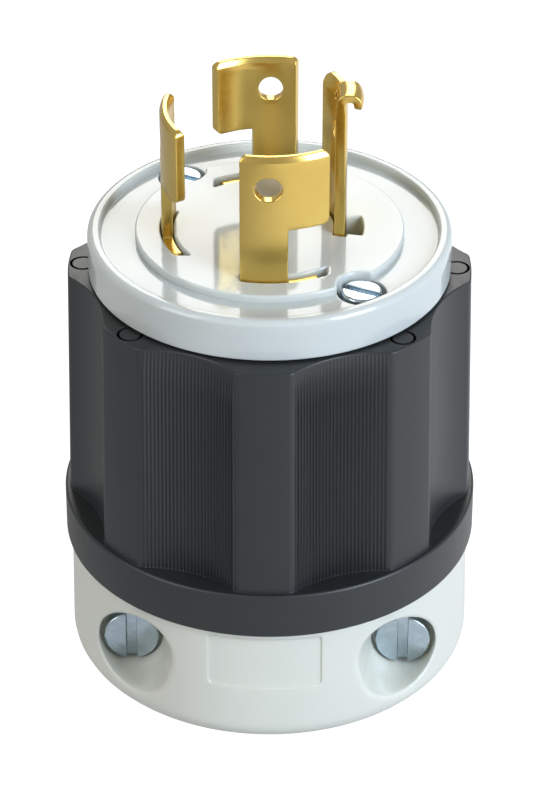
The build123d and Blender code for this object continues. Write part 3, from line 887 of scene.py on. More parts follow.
@dataclass
class Blade:
    """Locking blade: a brass strip curved about the axis, with a flag on one side of its tip."""

    name: str
    angle: float
    face_top: float
    radius: float = 13.1
    thickness: float = 1.3
    left: float = -3.1
    stem_right: float = 2.4
    flag_right: float = 6.95
    root_right: float = 6.1
    height: float = 16.6
    flag_foot: float = 6.9
    corner: float = 0.8
    small_corner: float = 0.25
    root_below: float = 0.5
    face_depth: float = 7.0
    tang_below: float = 25.3
    hole_x: float = 0.15
    hole_radius: float = 1.55
    hole_height: float = 12.4
    screw_below: float = 20.0
    screw_hole: float = 1.98
    edge: float = 0.14
    bevel: float = 0.4
    bevel_drop: float = 0.65
    crease: float = 0.04
    crease_step: float = 0.2
    outline_step: float = 0.45
    face_spacing: float = 0.7
    hole_columns: int = 56
    screw_columns: int = 40
    slot_gap: float = 0.15
    slot_corner: float = 0.35
    slot_step: float = 0.3
    slot_arc_step: float = 0.2

    @property
    def middle_radius(self) -> float:
        """Radius of the middle of the strip."""
        return self.radius - self.thickness / 2

    def along(self, across: float) -> float:
        """Length along the curved strip of a straight distance across it."""
        return self.middle_radius * math.asin(across / self.middle_radius)

    def outline(self) -> Array:
        """Flat outline: tang, root, stem and flag.

        Returns:
            Anticlockwise loop of lengths across and heights.
        """
        left, stem, flag, root = map(
            self.along, (self.left, self.stem_right, self.flag_right, self.root_right)
        )
        tang, foot = self.face_top - self.tang_below, self.face_top - self.face_depth
        shoulder, top = self.face_top - self.root_below, self.face_top + self.height
        flag_foot = self.face_top + self.flag_foot
        return rounded_path(
            [
                (left, tang, self.small_corner),
                (stem, tang, self.small_corner),
                (stem, foot, self.small_corner),
                (root, foot, self.small_corner),
                (root, shoulder, self.small_corner),
                (stem, shoulder, self.small_corner),
                (stem, flag_foot, self.small_corner),
                (flag, flag_foot, self.corner),
                (flag, top, self.corner),
                (left, top, self.corner),
            ],
            closed=True,
            step=self.outline_step,
        )

    def holes(self) -> list[Array]:
        """Flat outlines of the hole near the tip and of the terminal screw's hole.

        Returns:
            Two anticlockwise loops.
        """
        tip_hole = (self.hole_x, self.face_top + self.hole_height)
        screw_hole = (0.0, self.face_top - self.screw_below)
        return [
            round_loop(self.hole_radius, self.hole_columns, tip_hole),
            round_loop(self.screw_hole, self.screw_columns, screw_hole),
        ]

    def creases(self) -> Array:
        """Two close rows of points across the strip, just below and just above the bevels' foot.

        Returns:
            Lengths across and heights.
        """
        step = self.crease_step
        x = np.arange(self.along(self.left) + step, self.along(self.flag_right) - step / 2, step)
        foot = self.face_top + self.height - self.bevel_drop
        rows = [np.column_stack((x, np.full(len(x), foot + lift * self.crease))) for lift in (-1, 1)]
        return np.concatenate(rows)

    def place(self, points: Array) -> Array:
        """Curves the flat strip: its length across becomes an angle, its depth a radius.

        Above the bevels' foot the depth from the strip's middle shrinks evenly with the height.

        Args:
            points: Rows of length across, height and depth.

        Returns:
            Points in mm.
        """
        across, up, depth = points.T
        rise = np.clip((up - self.face_top - self.height) / self.bevel_drop + 1.0, 0.0, 1.0)
        from_middle = (depth + self.thickness / 2) * (1 - 2 * self.bevel / self.thickness * rise)
        angle = self.angle + np.degrees(across / self.middle_radius)
        return np.column_stack((polar(self.middle_radius + from_middle, angle), up))

    def shape(self) -> Shape:
        """The whole blade."""
        face = [self.outline(), *self.holes()]
        return slab(
            face, self.thickness, self.edge, self.place, self.face_spacing, self.creases()
        )

    def slot(self) -> Array:
        """Plan loop of the blade's slot in the face: two arcs joined by straight ends.

        Returns:
            Anticlockwise loop.
        """
        outer, inner = self.radius + self.slot_gap, self.radius - self.thickness - self.slot_gap
        left, right = self.left - self.slot_gap, self.flag_right + self.slot_gap
        ends = [
            [math.degrees(math.asin(across / radius)) + self.angle for across in (left, right)]
            for radius in (outer, inner)
        ]
        return self.slot_loop([(outer, *ends[0]), (inner, *ends[1][::-1])])

    def slot_loop(self, spans: Sequence[tuple[float, float, float]]) -> Array:
        """Closed loop of arcs, each given by its radius and its two angles, with straight links."""
        runs = linked([arc(radius, start, end, self.slot_arc_step) for radius, start, end in spans])
        return joined_loop(runs, self.slot_corner, step_counts(runs, self.slot_step))[0]

    def build(self, material: bpy.types.Material) -> bpy.types.Object:
        """Makes the blade's piece."""
        return make_piece(f"{self.name}_strip", self.shape(), material, Slot.BRASS, [self.name])


@dataclass
class NeutralBlade(Blade):
    """Plain strip nearer the axis; the front half of its tip is bent outwards into a hook."""

    radius: float = 9.3
    left: float = -1.97
    root_right: float = 4.85
    tip_right: float = 5.5
    tip_drop: float = 0.5
    height: float = 19.0
    tang_half: float = 2.9
    hole_x: float = 1.5
    block_gap: float = 0.3
    slit_left: float = 1.9
    slit_right: float = 2.3
    slit_depth: float = 2.6
    hook_reach: float = 11.2
    hook_drop: float = 2.1
    hook_bend: float = 0.85
    hook_thinning: tuple[float, ...] = (1.0, 0.82, 0.82, 0.74, 0.58, 0.36)
    hook_thins_over: float = 1.0
    hook_tip: tuple[float, ...] = (0.6, 0.35, 0.15, 0.0)
    lead_depth: float = 0.85
    lead_height: float = 2.0
    passage_start: float = -9.6
    passage_end: float = 13.6
    corner: float = 0.6
    slit_corner: float = 0.15
    bend_step: float = 0.1
    outline_step: float = 0.2
    face_spacing: float = 0.3
    slot_corner: float = 0.15
    slot_arc_step: float = 0.1

    def bend(self) -> Array:
        """Section of the hook's middle line as radius and height: up, outwards and down.

        Returns:
            Points from the slit's foot to the hook's tip.
        """
        top = self.face_top + self.height
        half = self.thickness / 2 * self.hook_thinning[1]
        middle, tip, upper = self.middle_radius, self.hook_reach - half, top - half
        return rounded_path(
            [
                (middle, top - self.slit_depth, 0.0),
                (middle, upper, self.hook_bend),
                (tip, upper, self.hook_bend),
                (tip, top - self.hook_drop, 0.0),
            ],
            step=self.bend_step,
        )

    def outline(self) -> Array:
        """Flat outline with the hook unbent, beside a shoulder across a narrow slit.

        Returns:
            Anticlockwise loop of lengths across and heights.
        """
        length = lengths_along(self.bend())[-1]
        tang, foot = self.face_top - self.tang_below, self.face_top - self.face_depth
        top = self.face_top + self.height
        slit = top - self.slit_depth
        corner, small = self.corner, self.small_corner
        left, right, tip = map(self.along, (self.left, self.root_right, self.tip_right))
        shoulder = self.face_top - self.root_below
        return rounded_path(
            [
                (-self.tang_half, tang, small),
                (self.tang_half, tang, small),
                (self.tang_half, foot, small),
                (right, foot, small),
                (right, shoulder, small),
                (tip, shoulder, small),
                (tip, top - self.tip_drop, 2 * corner),
                (self.slit_right, top - self.tip_drop, small),
                (self.slit_right, slit, self.slit_corner),
                (self.slit_left, slit, self.slit_corner),
                (self.slit_left, slit + length, corner),
                (left, slit + length, corner),
                (left, foot - self.block_gap, small),
                (-self.tang_half, foot - self.block_gap, small),
            ],
            closed=True,
            step=self.outline_step,
        )

    def place(self, points: Array) -> Array:
        """Curves the strip and bends the hook.

        The strip's length across is an angle. In the hook, the height above the slit's foot is a length
        along the section, and the depth goes along the section's normal. The shoulder thins from the
        inside towards its top.

        Args:
            points: Rows of length across, height and depth.

        Returns:
            Points in mm.
        """
        across, up, depth = points.T
        path = self.bend()
        along = lengths_along(path)
        start = self.face_top + self.height - self.slit_depth
        reach = np.clip(up - start, 0.0, along[-1])
        tangent = np.gradient(path, along, axis=0)
        hook = (across < (self.slit_left + self.slit_right) / 2) & (up > start)
        radial, height, lean, fall = (
            np.interp(reach, along, values)
            for values in (path[:, 0], path[:, 1], tangent[:, 1], -tangent[:, 0])
        )
        places = [0.0, self.hook_thins_over, *(along[-1] - back for back in self.hook_tip)]
        thin = np.interp(reach, places, self.hook_thinning)
        from_middle = (depth + self.thickness / 2) * np.where(hook, thin, 1.0)
        lead = np.clip((up - start - self.slit_depth + self.lead_height) / self.lead_height, 0, 1)
        thinner = 1 - 2 * self.lead_depth / self.thickness * lead
        shoulder = np.where(from_middle < 0, from_middle * thinner, from_middle)
        angle = self.angle + np.degrees(across / self.middle_radius)
        offset = np.where(hook, from_middle * lean, np.where(up > start, shoulder, from_middle))
        plan = polar(self.middle_radius + offset, angle)
        plan += np.where(hook, radial - self.middle_radius, 0.0)[:, None] * polar(1.0, self.angle)
        z = np.where(hook, height + from_middle * fall, up)
        return np.column_stack((plan, z))

    def creases(self) -> Array:
        """Row of points across the shoulder where it begins to thin."""
        x = np.arange(self.slit_right, self.along(self.tip_right), self.crease_step)
        return np.column_stack((x, np.full(len(x), self.face_top + self.height - self.lead_height)))

    def slot(self) -> Array:
        """Plan loop of the slot: the strip's sector joined to the wider passage of the hook.

        Returns:
            Anticlockwise loop.
        """
        gap = self.slot_gap
        outer, inner = self.radius + gap, self.radius - self.thickness - gap
        left, right = (
            math.degrees(math.asin(across / self.middle_radius))
            for across in (self.left - gap, self.tip_right + gap)
        )
        spans = (
            (inner, right, left),
            (outer, left, self.passage_start),
            (self.hook_reach + gap, self.passage_start, self.passage_end),
            (outer, self.passage_end, right),
        )
        return self.slot_loop(
            [(radius, start + self.angle, end + self.angle) for radius, start, end in spans]
        )


@dataclass
class Face:
    """Light moulding that carries the blades: rim, sunk channel and raised disc."""

    radius: float
    foot: float
    top: float
    screw_angles: tuple[float, float]
    screw_circle: float = 17.4
    flange_height: float = 5.35
    skirt_radius: float = 20.3
    rim_width: float = 1.5
    rim_edge: float = 0.8
    soft_edge: float = 0.3
    flange_edge: float = 0.25
    channel_depth: float = 1.0
    disc_radius: float = 16.3
    edge: float = 0.22
    bore_radius: float = 2.95
    bore_depth: float = 3.0
    bore_edge: float = 0.15
    bite_points: int = 40
    bore_points: int = 60
    bore_settle: float = 0.25
    edge_settle: float = 0.5
    disc_corner: float = 0.4
    disc_step: float = 0.4
    profile_overlap: float = 0.6
    shank_hole: float = 1.9
    shank_columns: int = 40

    @property
    def channel(self) -> float:
        """Height of the channel's floor."""
        return self.top - self.channel_depth

    def disc_runs(self) -> list[Array]:
        """Runs of the disc's outline: arcs about the axis, and bites where the screw bores cut it.

        By the law of cosines, a bite's ends lie at the angle from the screw whose cosine is
        (disc^2 + circle^2 - bore^2) / (2 disc circle).

        Returns:
            Arc, bite, arc, bite, anticlockwise.
        """
        disc, circle, bore = self.disc_radius, self.screw_circle, self.bore_radius
        spread = math.degrees(math.acos((disc**2 + circle**2 - bore**2) / (2 * disc * circle)))
        swing = math.degrees(math.acos((circle**2 + bore**2 - disc**2) / (2 * circle * bore)))
        runs = []
        for here, following in zip(self.screw_angles, self.screw_angles[::-1]):
            last = following + (360.0 if following < here else 0.0)
            runs.append(arc(disc, here + spread, last - spread, 0.2))
            centre = polar(circle, following)
            turn = following + 180.0 + np.linspace(swing, -swing, self.bite_points)
            runs.append(polar(bore, turn) + centre)
        return runs

    def bore_loop(self, bite: Array, angle: float) -> tuple[Array, Array]:
        """Whole loop of one screw bore at the channel's floor.

        The disc's bite gives the inner part. The outer part is an arc whose radius settles from the
        bite's ends to the bore's over a short length.

        Args:
            bite: The disc outline's points in the bite, from corner middle to corner middle.
            angle: Angle of the bore.

        Returns:
            The anticlockwise loop, and for each point how far its upper edge is rounded, from 0 to 1.
        """
        centre = polar(self.screw_circle, angle)
        spokes = bite - centre
        turns = np.unwrap(np.arctan2(spokes[:, 1], spokes[:, 0]))
        rest = 2 * math.pi - abs(turns[-1] - turns[0])
        step = np.linspace(0.0, rest, self.bore_points)[1:-1]
        swing = turns[-1] + np.sign(turns[-1] - turns[0]) * step
        share = np.linspace(0.0, 1.0, self.bore_points)[1:-1]
        from_end = np.minimum(share, 1 - share) * rest * self.bore_radius
        settle = np.exp(-from_end / self.bore_settle)
        reach = self.bore_radius + settle * (np.linalg.norm(spokes[0]) - self.bore_radius)
        outer = centre + reach[:, None] * np.stack((np.cos(swing), np.sin(swing)), axis=-1)
        fade = np.clip(from_end / self.edge_settle, 0.0, 1.0)
        loop = np.concatenate((bite, outer))
        softness = np.concatenate((np.zeros(len(bite)), fade))
        return loop[::-1], softness[::-1]

    def shank_loop(self, angle: float) -> Array:
        """Loop of the shank hole under the screw bore at an angle."""
        return round_loop(self.shank_hole, self.shank_columns, polar(self.screw_circle, angle))

    def bores(self, shape: Shape, disc: Array, marks: list[int]) -> list[Array]:
        """Adds the walls and seats of the screw bores.

        Args:
            shape: Takes the patches.
            disc: The disc's outline.
            marks: Its corner middles.

        Returns:
            The outer part of each bore's upper edge, for the channel's floor.
        """
        rims = []
        for first, angle in ((0, self.screw_angles[1]), (2, self.screw_angles[0])):
            bite = disc[marks[first] : marks[first + 1] + 1]
            loop, softness = self.bore_loop(bite, angle)
            upper = edge_rings(loop, outward(loop), self.bore_edge * softness, self.channel)
            seat = self.top - self.bore_depth
            shape.grid(np.concatenate((upper, wall_rings(loop, [seat]))))
            hole = self.shank_loop(angle)
            shape.fill([loop, hole], at_height(seat))
            shape.grid(wall_rings(hole, [seat, self.foot]))
            rims.append(upper[0, ::-1, :2][len(bite) :])
        return rims

    def shape(self, slots: Sequence[Array]) -> Shape:
        """The whole face around some slots.

        Args:
            slots: Plan loops of the blade slots.

        Returns:
            Closed patches: disc, channel, slots, bores, rim, flange, skirt and underside.
        """
        shape = Shape()
        runs = self.disc_runs()
        disc, marks = joined_loop(runs, self.disc_corner, step_counts(runs, self.disc_step))
        upper = edge_rings(disc, -outward(disc), self.edge, self.top)
        shape.grid(np.concatenate((upper, wall_rings(disc, [self.channel]))))
        tops = [upper[0, :, :2]]
        for slot in slots:
            rounded = edge_rings(slot, outward(slot), self.edge, self.top)
            shape.grid(np.concatenate((rounded, wall_rings(slot, [self.foot]))))
            tops.append(rounded[0, :, :2])
        shape.fill(tops, at_height(self.top))
        rims = self.bores(shape, disc, marks)
        inner = np.concatenate(
            (
                disc[marks[3] :],
                disc[: marks[0] + 1],
                rims[0][::-1],
                disc[marks[1] : marks[2] + 1],
                rims[1][::-1],
            )
        )
        profile = self.profile()
        outer, bottom = (polar(radius, round_angles()) for radius in profile[[0, -1], 0])
        shape.fill([outer, inner], at_height(self.channel))
        shape.grid(turned(profile))
        holes = [self.shank_loop(angle) for angle in self.screw_angles]
        shape.fill([bottom, *slots, *holes], at_height(self.foot))
        return shape

    def profile(self) -> Array:
        """Radius and height from the channel's floor over the rim and down the flange and skirt.

        Returns:
            Rows of radius and height.
        """
        inner = self.radius - self.rim_width
        under = self.top - self.flange_height
        return rounded_path(
            [
                (inner - self.profile_overlap, self.channel, 0.0),
                (inner, self.channel, self.soft_edge),
                (inner, self.top, self.soft_edge),
                (self.radius, self.top, self.rim_edge),
                (self.radius, under, self.flange_edge),
                (self.skirt_radius, under, 0.0),
                (self.skirt_radius, self.foot, self.soft_edge),
                (self.skirt_radius - self.profile_overlap, self.foot, 0.0),
            ]
        )

    def build(self, slots: Sequence[Array], material: bpy.types.Material) -> bpy.types.Object:
        """Makes the face's piece."""
        return make_piece(
            "face_moulding", self.shape(slots), material, Slot.LIGHT_NYLON, ["face_plate"]
        )


@dataclass
class Grip:
    """Dark fluted sleeve: eight lands, eight hollow scallops, four of them ribbed, and a round band."""

    foot: float
    top: float
    band_radius: float
    band_height: float = 6.2
    band_edge: float = 0.35
    land_count: int = 8
    land_half: float = 7.6
    land_foot: float = 25.2
    land_top: float = 24.6
    scallop_depth: float = 1.5
    ribbed: tuple[int, ...] = (0, 3, 4, 7)
    rib_count: int = 27
    rib_depth: float = 0.2
    rib_points: int = 10
    rib_fade: float = 1.5
    scallop_samples: int = 300
    plain_points: int = 48
    land_points: int = 14
    wall_rows: int = 12
    corner: float = 0.45
    top_edge: float = 0.18
    foot_fillet: float = 0.06
    bore_radius: float = 20.6
    recess_radius: float = 23.1
    recess_depth: float = 4.3
    pin_circle: float = 22.8
    pin_radius: float = 1.6
    pin_groove: float = 0.36
    pin_depth: float = 0.8
    pin_draft: float = 0.02
    pin_columns: int = 64
    ledge_overlap: float = 0.45
    bore_edge: float = 0.2
    pin_lands: tuple[int, ...] = (1, 2, 3, 5, 6, 7)

    def outline(self, land: float, rib_depth: float) -> Array:
        """Plan outline at a land radius.

        A scallop is a circle arc through the ends of its two lands whose middle lies the scallop's depth
        below the chord: its radius is (chord^2 / 4 + depth^2) / (2 depth). Ribs stand out from a ribbed
        scallop by half their depth times one minus the cosine of the rib's phase.

        Args:
            land: Radius of the lands at this height, in mm.
            rib_depth: Height of the ribs in mm.

        Returns:
            An anticlockwise loop with the same number of points for every radius.
        """
        pitch = 360.0 / self.land_count
        gap = pitch / 2 - self.land_half
        half_chord = land * math.sin(math.radians(gap))
        middle = land * math.cos(math.radians(gap)) - self.scallop_depth
        radius = (half_chord**2 + self.scallop_depth**2) / (2 * self.scallop_depth)
        swing = math.degrees(math.asin(half_chord / radius))
        runs, counts = [], []
        for index in range(self.land_count):
            start = index * pitch
            runs.append(arc(land, start - self.land_half, start + self.land_half, 0.1))
            turn = start + pitch / 2 + np.linspace(swing, -swing, self.scallop_samples)
            runs.append(polar(middle + radius, start + pitch / 2) - polar(radius, turn))
            ribbed = self.rib_count * self.rib_points + 1
            counts += [self.land_points, ribbed if index in self.ribbed else self.plain_points]
        loop, _ = joined_loop(runs, self.corner, counts)
        lift = [np.zeros(0)]
        for place, count in enumerate(counts):
            phase = np.linspace(0.0, 2 * math.pi * self.rib_count, count)
            raised = place % 2 == 1 and place // 2 in self.ribbed
            height = rib_depth / 2 * (1 - np.cos(phase)) if raised else np.zeros(count)
            lift += [height, np.zeros(CORNER_POINTS)]
        out = np.linalg.norm(loop, axis=1)
        return loop * (1 + np.concatenate(lift) / out)[:, None]

    def walls(self, shape: Shape) -> tuple[Array, Array]:
        """Adds the fluted wall with its fillet at the foot and its rounded top.

        Args:
            shape: Takes the patch.

        Returns:
            The lowest and the highest loop in plan.
        """
        low, high = self.outline(self.land_foot, 0.0), self.outline(self.land_top, 0.0)
        ribs = self.outline(self.land_foot, self.rib_depth) - low
        base = self.foot + self.band_height
        lean = 1 / np.linalg.norm(low, axis=1, keepdims=True)
        rows = []
        for turn in QUARTER:
            grown = low * (1 + self.foot_fillet * (1 - math.sin(turn)) * lean)
            rows.append(at_height(base + self.foot_fillet * (1 - math.cos(turn)))(grown + ribs))
        start, end = base + self.foot_fillet, self.top - self.top_edge
        for share in np.linspace(0.0, 1.0, self.wall_rows + 1)[1:]:
            height = start + (end - start) * share
            fade = min((end - height) / self.rib_fade, 1.0)
            rows.append(at_height(height)(low + (high - low) * share + ribs * fade))
        lean = 1 / np.linalg.norm(high, axis=1, keepdims=True)
        for turn in QUARTER[1:]:
            drawn = high * (1 - self.top_edge * (1 - math.cos(turn)) * lean)
            rows.append(at_height(end + self.top_edge * math.sin(turn))(drawn))
        shape.grid(np.stack(rows))
        return rows[0][:, :2], rows[-1][:, :2]

    def pins(self, shape: Shape) -> list[Array]:
        """Adds the round groove of each ejector pin mark.

        Args:
            shape: Takes the patches.

        Returns:
            The outer loops of the grooves.
        """
        loops = []
        outer, inner = self.pin_radius, self.pin_radius - self.pin_groove
        section = (
            (outer, 0.0),
            (outer - self.pin_draft, -self.pin_depth),
            (inner + self.pin_draft, -self.pin_depth),
            (inner, 0.0),
        )
        for index in self.pin_lands:
            centre = polar(self.pin_circle, index * 360.0 / self.land_count)
            rings = [
                at_height(self.top + z)(round_loop(radius, self.pin_columns, centre))
                for radius, z in section
            ]
            shape.grid(np.stack(rings))
            shape.fill([rings[-1][:, :2]], at_height(self.top))
            loops.append(rings[0][:, :2])
        return loops

    def shape(self) -> Shape:
        """The whole grip.

        Returns:
            Closed patches: fluted wall, band, recess, bore, top and pin marks.
        """
        shape = Shape()
        low, high = self.walls(shape)
        ledge = self.foot + self.band_height
        profile = rounded_path(
            [
                (self.band_radius - self.ledge_overlap, ledge, 0.0),
                (self.band_radius, ledge, self.band_edge),
                (self.band_radius, self.foot, self.band_edge),
                (self.recess_radius, self.foot, self.bore_edge),
                (self.recess_radius, self.foot + self.recess_depth, 0.0),
                (self.bore_radius, self.foot + self.recess_depth, self.bore_edge),
                (self.bore_radius, self.top, 0.0),
            ],
            step=4.0,
        )
        shape.grid(turned(profile))
        rim = polar(profile[0, 0], round_angles())
        shape.fill([rim, low], at_height(ledge))
        bore = polar(self.bore_radius, round_angles())
        shape.fill([high, bore, *self.pins(shape)], at_height(self.top))
        return shape

    def build(self, material: bpy.types.Material) -> bpy.types.Object:
        """Makes the grip's piece."""
        return make_piece("grip_sleeve", self.shape(), material, Slot.DARK_NYLON, ["grip_shell"])


@dataclass
class Cap:
    """Light cord cap: rounded foot, cord hole, two screw pockets and a shallow bare panel."""

    height: float
    radius: float
    foot_radius: float = 25.3
    round_radius: float = 2.6
    round_height: float = 4.0
    dome_angle: float = 25.0
    floor_height: float = 3.0
    top_edge: float = 0.3
    spigot_radius: float = 22.8
    hole_radius: float = 9.7
    hole_edge: float = 1.0
    screw_x: float = 17.1
    screw_z: float = 8.5
    seat_y: float = -11.6
    seat_radius: float = 3.9
    taper: float = 6.0
    upward_taper: float = 22.0
    upward_power: float = 1.5
    seat_fillet: float = 0.5
    lip: float = 0.55
    lip_apron: float = 0.5
    shank_hole: float = 1.83
    panel_width: float = 14.2
    panel_foot: float = 9.9
    panel_margin: float = 0.6
    panel_depth: float = 0.2
    panel_corner: float = 0.5
    panel_edge: float = 0.14
    skin_foot: float = 0.6
    skin_spacing: float = 0.7
    floor_spacing: float = 0.6
    side_points: int = 24
    foot_rows: int = 8
    pocket_columns: int = 120
    pocket_rounds: int = 60
    pocket_rows: int = 7
    curve_points: int = 7
    curve_limit: float = 0.4
    tolerance: float = 0.01
    wall_margin: float = 0.05
    hole_margin: float = 0.2
    floor_margin: float = 0.1
    seat_reach: float = 2.2

    @property
    def dome(self) -> float:
        """Slope of the shallow dome under the foot, in radians."""
        return math.radians(self.dome_angle)

    @property
    def dome_top(self) -> float:
        """Height at which the dome meets the rounded edge."""
        return self.round_height - self.round_radius * math.cos(self.dome)

    def lean(self, along: Array) -> Array:
        """Angle of the section above the level, in radians, at a length along it."""
        turned_by = (along - self.dome_top / math.sin(self.dome)) / self.round_radius
        return self.dome + np.clip(turned_by, 0.0, math.pi / 2 - self.dome)

    def section(self, along: Array) -> tuple[Array, Array]:
        """Radius and height of the outer surface at a length along its section.

        The length starts where the flat foot ends. It climbs the dome in a straight line, follows the
        tangent arc of the rounded edge, then the leaning wall.

        Args:
            along: Lengths in mm.

        Returns:
            Radii and heights.
        """
        turn = self.lean(along)
        before = np.minimum(along - self.dome_top / math.sin(self.dome), 0.0)
        arc_end = self.length_at(np.array(self.round_height))
        rest = np.maximum(along - arc_end, 0.0)
        slope = (self.radius - self.foot_radius) / (self.height - self.round_height)
        radius = self.foot_radius - self.round_radius * (1 - np.sin(turn)) + rest * slope
        height = self.round_height - self.round_radius * np.cos(turn) + rest
        return radius + before * math.cos(self.dome), height + before * math.sin(self.dome)

    def length_at(self, height: Array) -> Array:
        """Length along the section at a height.

        Args:
            height: Heights in mm.

        Returns:
            Lengths in mm.
        """
        cosine = (self.round_height - height) / self.round_radius
        turn = np.arccos(np.clip(cosine, 0.0, math.cos(self.dome)))
        climbed = np.minimum(height, self.dome_top) / math.sin(self.dome)
        return (
            climbed
            + (turn - self.dome) * self.round_radius
            + np.maximum(height - self.round_height, 0.0)
        )

    def radius_at(self, height: Array) -> Array:
        """Outer radius at a height."""
        return self.section(self.length_at(height))[0]

    def place(self, points: Array) -> Array:
        """Wraps flat points round the cap.

        Args:
            points: Rows of length round the foot radius, length along the section and depth.

        Returns:
            Points in mm, moved in along the section's normal by the depth.
        """
        across, along, depth = points.T
        radius, height = self.section(along)
        turn = self.lean(along)
        radius = radius - depth * np.sin(turn)
        height = height + depth * np.cos(turn)
        plan = polar(radius, np.degrees(across / self.foot_radius))
        return np.column_stack((plan, height))

    def sunk(self, depth: float) -> Place:
        """Wraps flat points round the cap at a depth."""
        return lambda plan: self.place(at_height(depth)(plan))

    def unplace(self, points: Array) -> Array:
        """Flat place of points on the outer surface."""
        turn = np.arctan2(points[:, 0], -points[:, 1])
        return np.column_stack((turn * self.foot_radius, self.length_at(points[:, 2])))

    def on_surface(self, side: int, reach: Array, turn: Array) -> Array:
        """Outer surface points at a distance and direction from a pocket's axis, seen along Y.

        Args:
            side: -1 for the left pocket, 1 for the right.
            reach: Distances from the axis.
            turn: Directions in radians, from across towards up.

        Returns:
            Points in mm.
        """
        x = side * self.screw_x + reach * np.cos(turn)
        z = self.screw_z + reach * np.sin(turn)
        y = -np.sqrt(np.maximum(self.radius_at(z) ** 2 - x**2, 0.0))
        return np.stack((x, y, z), axis=-1)

    def pocket(self, shape: Shape, side: int, seat_hole: Array) -> Array:
        """Adds one screw pocket.

        The wall is a cone about the pocket's axis. Its lip is where the cone's radius equals the outer
        surface's distance from the axis, found by repeating radius = seat radius + depth tan(taper). A
        parabola rounds the lip between the wall and the outer surface.

        Args:
            shape: Takes the patches.
            side: -1 for the left pocket, 1 for the right.
            seat_hole: Edge of the shank hole in the seat, as across and up.

        Returns:
            The loop on the outer surface where the pocket's patch ends.
        """
        turn = np.linspace(0.0, 2 * math.pi, self.pocket_columns, endpoint=False)
        rise = np.sin(turn)
        slope = math.tan(math.radians(self.taper)) * (1 + np.minimum(rise, 0.0))
        slope += math.tan(math.radians(self.upward_taper)) * np.maximum(rise, 0.0) ** self.upward_power
        reach = np.full(len(turn), self.seat_radius + 1.0)
        for _ in range(self.pocket_rounds):
            depth = self.seat_y - self.on_surface(side, reach, turn)[:, 1]
            reach = self.seat_radius + depth * slope
        lip = self.on_surface(side, reach, turn)
        axis = np.array([side * self.screw_x, 0.0, self.screw_z])
        spoke = np.stack((np.cos(turn), np.zeros(len(turn)), np.sin(turn)), axis=-1)
        down = np.array([0.0, self.seat_y, 0.0])
        start = axis + down + spoke * (self.seat_radius - self.seat_fillet)
        corner = axis + down + spoke * self.seat_radius
        depth = (self.seat_y - lip[:, 1])[:, None]
        climb = (lip - corner) / depth
        rise = np.minimum(self.seat_fillet, depth * self.curve_limit)
        share = np.linspace(0.0, 1.0, self.curve_points)[:, None, None]
        fillet = parabola(share, start, corner, corner + climb * rise)
        below = lip - climb * np.minimum(self.lip, depth * self.curve_limit)
        beyond = self.on_surface(side, reach + self.lip, turn)
        rows = np.linspace(0.0, 1.0, self.pocket_rows + 1)[1:, None, None]
        wall = rows * (below - fillet[-1]) + fillet[-1]
        bend = parabola(share, below, lip, beyond)
        apron = [
            self.on_surface(side, reach + self.lip + self.lip_apron * part, turn)
            for part in (0.5, 1.0)
        ]
        shape.grid(np.concatenate((fillet, wall, bend[1:], np.stack(apron))))

        def at_seat(plan: Array) -> Array:
            """Lifts points across and up to the seat's plane."""
            return np.column_stack((plan[:, 0], np.full(len(plan), self.seat_y), plan[:, 1]))

        shape.fill([fillet[0][:, [0, 2]], seat_hole], at_seat)
        return self.unplace(apron[-1])

    def panel(self, shape: Shape) -> Array:
        """Adds the shallow panel: its rim carried down a rounded edge to a floor below the surface.

        Args:
            shape: Takes the patches.

        Returns:
            The loop on the outer surface where the panel's patch begins.
        """
        half = self.panel_width / 2
        low = float(self.length_at(np.array(self.panel_foot)))
        high = float(self.length_at(np.array(self.height - self.panel_margin)))
        corner = self.panel_corner
        loop = rounded_path(
            [
                (-half, low, corner),
                (half, low, corner),
                (half, high, corner),
                (-half, high, corner),
            ],
            closed=True,
            step=0.5,
        )
        normal = outward(loop)
        upper = edge_rings(loop, normal, self.panel_edge, 0.0)
        lower = edge_rings(loop, -normal, self.panel_edge, 0.0)[::-1]
        lower[:, :, 2] = -self.panel_depth - lower[:, :, 2]
        rings = np.concatenate((upper, lower))
        rings[:, :, 2] *= -1
        shape.grid(self.place(rings.reshape(-1, 3)).reshape(rings.shape))
        shape.fill([lower[-1, :, :2]], self.sunk(self.panel_depth), self.floor_spacing)
        return upper[0, :, :2]

    def kept_inside(self, source: bpy.types.Object) -> Shape:
        """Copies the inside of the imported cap: every triangle that lies off the outer skin.

        Args:
            source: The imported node.

        Returns:
            The merged triangles in mm.
        """
        work = bmesh.new()
        work.from_mesh(source.data)
        bmesh.ops.remove_doubles(work, verts=work.verts, dist=WELD)
        spots = np.array([vertex.co for vertex in work.verts]) / MM
        faces = np.array([[vertex.index for vertex in face.verts] for face in work.faces])
        work.free()
        middle = spots[faces].mean(axis=1)
        highest = spots[faces][:, :, 2].max(axis=1)
        slope = math.tan(math.radians(self.taper))
        wall = self.seat_radius + np.maximum(self.seat_y - middle[:, 1], 0.0) * slope
        beside = np.abs(np.abs(middle[:, 0]) - self.screw_x)
        from_axis = np.hypot(beside, middle[:, 2] - self.screw_z)
        pocket = (middle[:, 1] < self.seat_y + self.tolerance) & (from_axis < wall + self.wall_margin)
        radius = np.hypot(middle[:, 0], middle[:, 1])
        outer = radius > self.spigot_radius + self.tolerance
        limit = np.where(
            radius > self.hole_radius + self.hole_margin,
            self.floor_height - self.floor_margin,
            self.hole_edge + self.tolerance,
        )
        shape = Shape()
        shape.add(spots, faces[~(pocket | outer | (highest < limit))])
        return shape

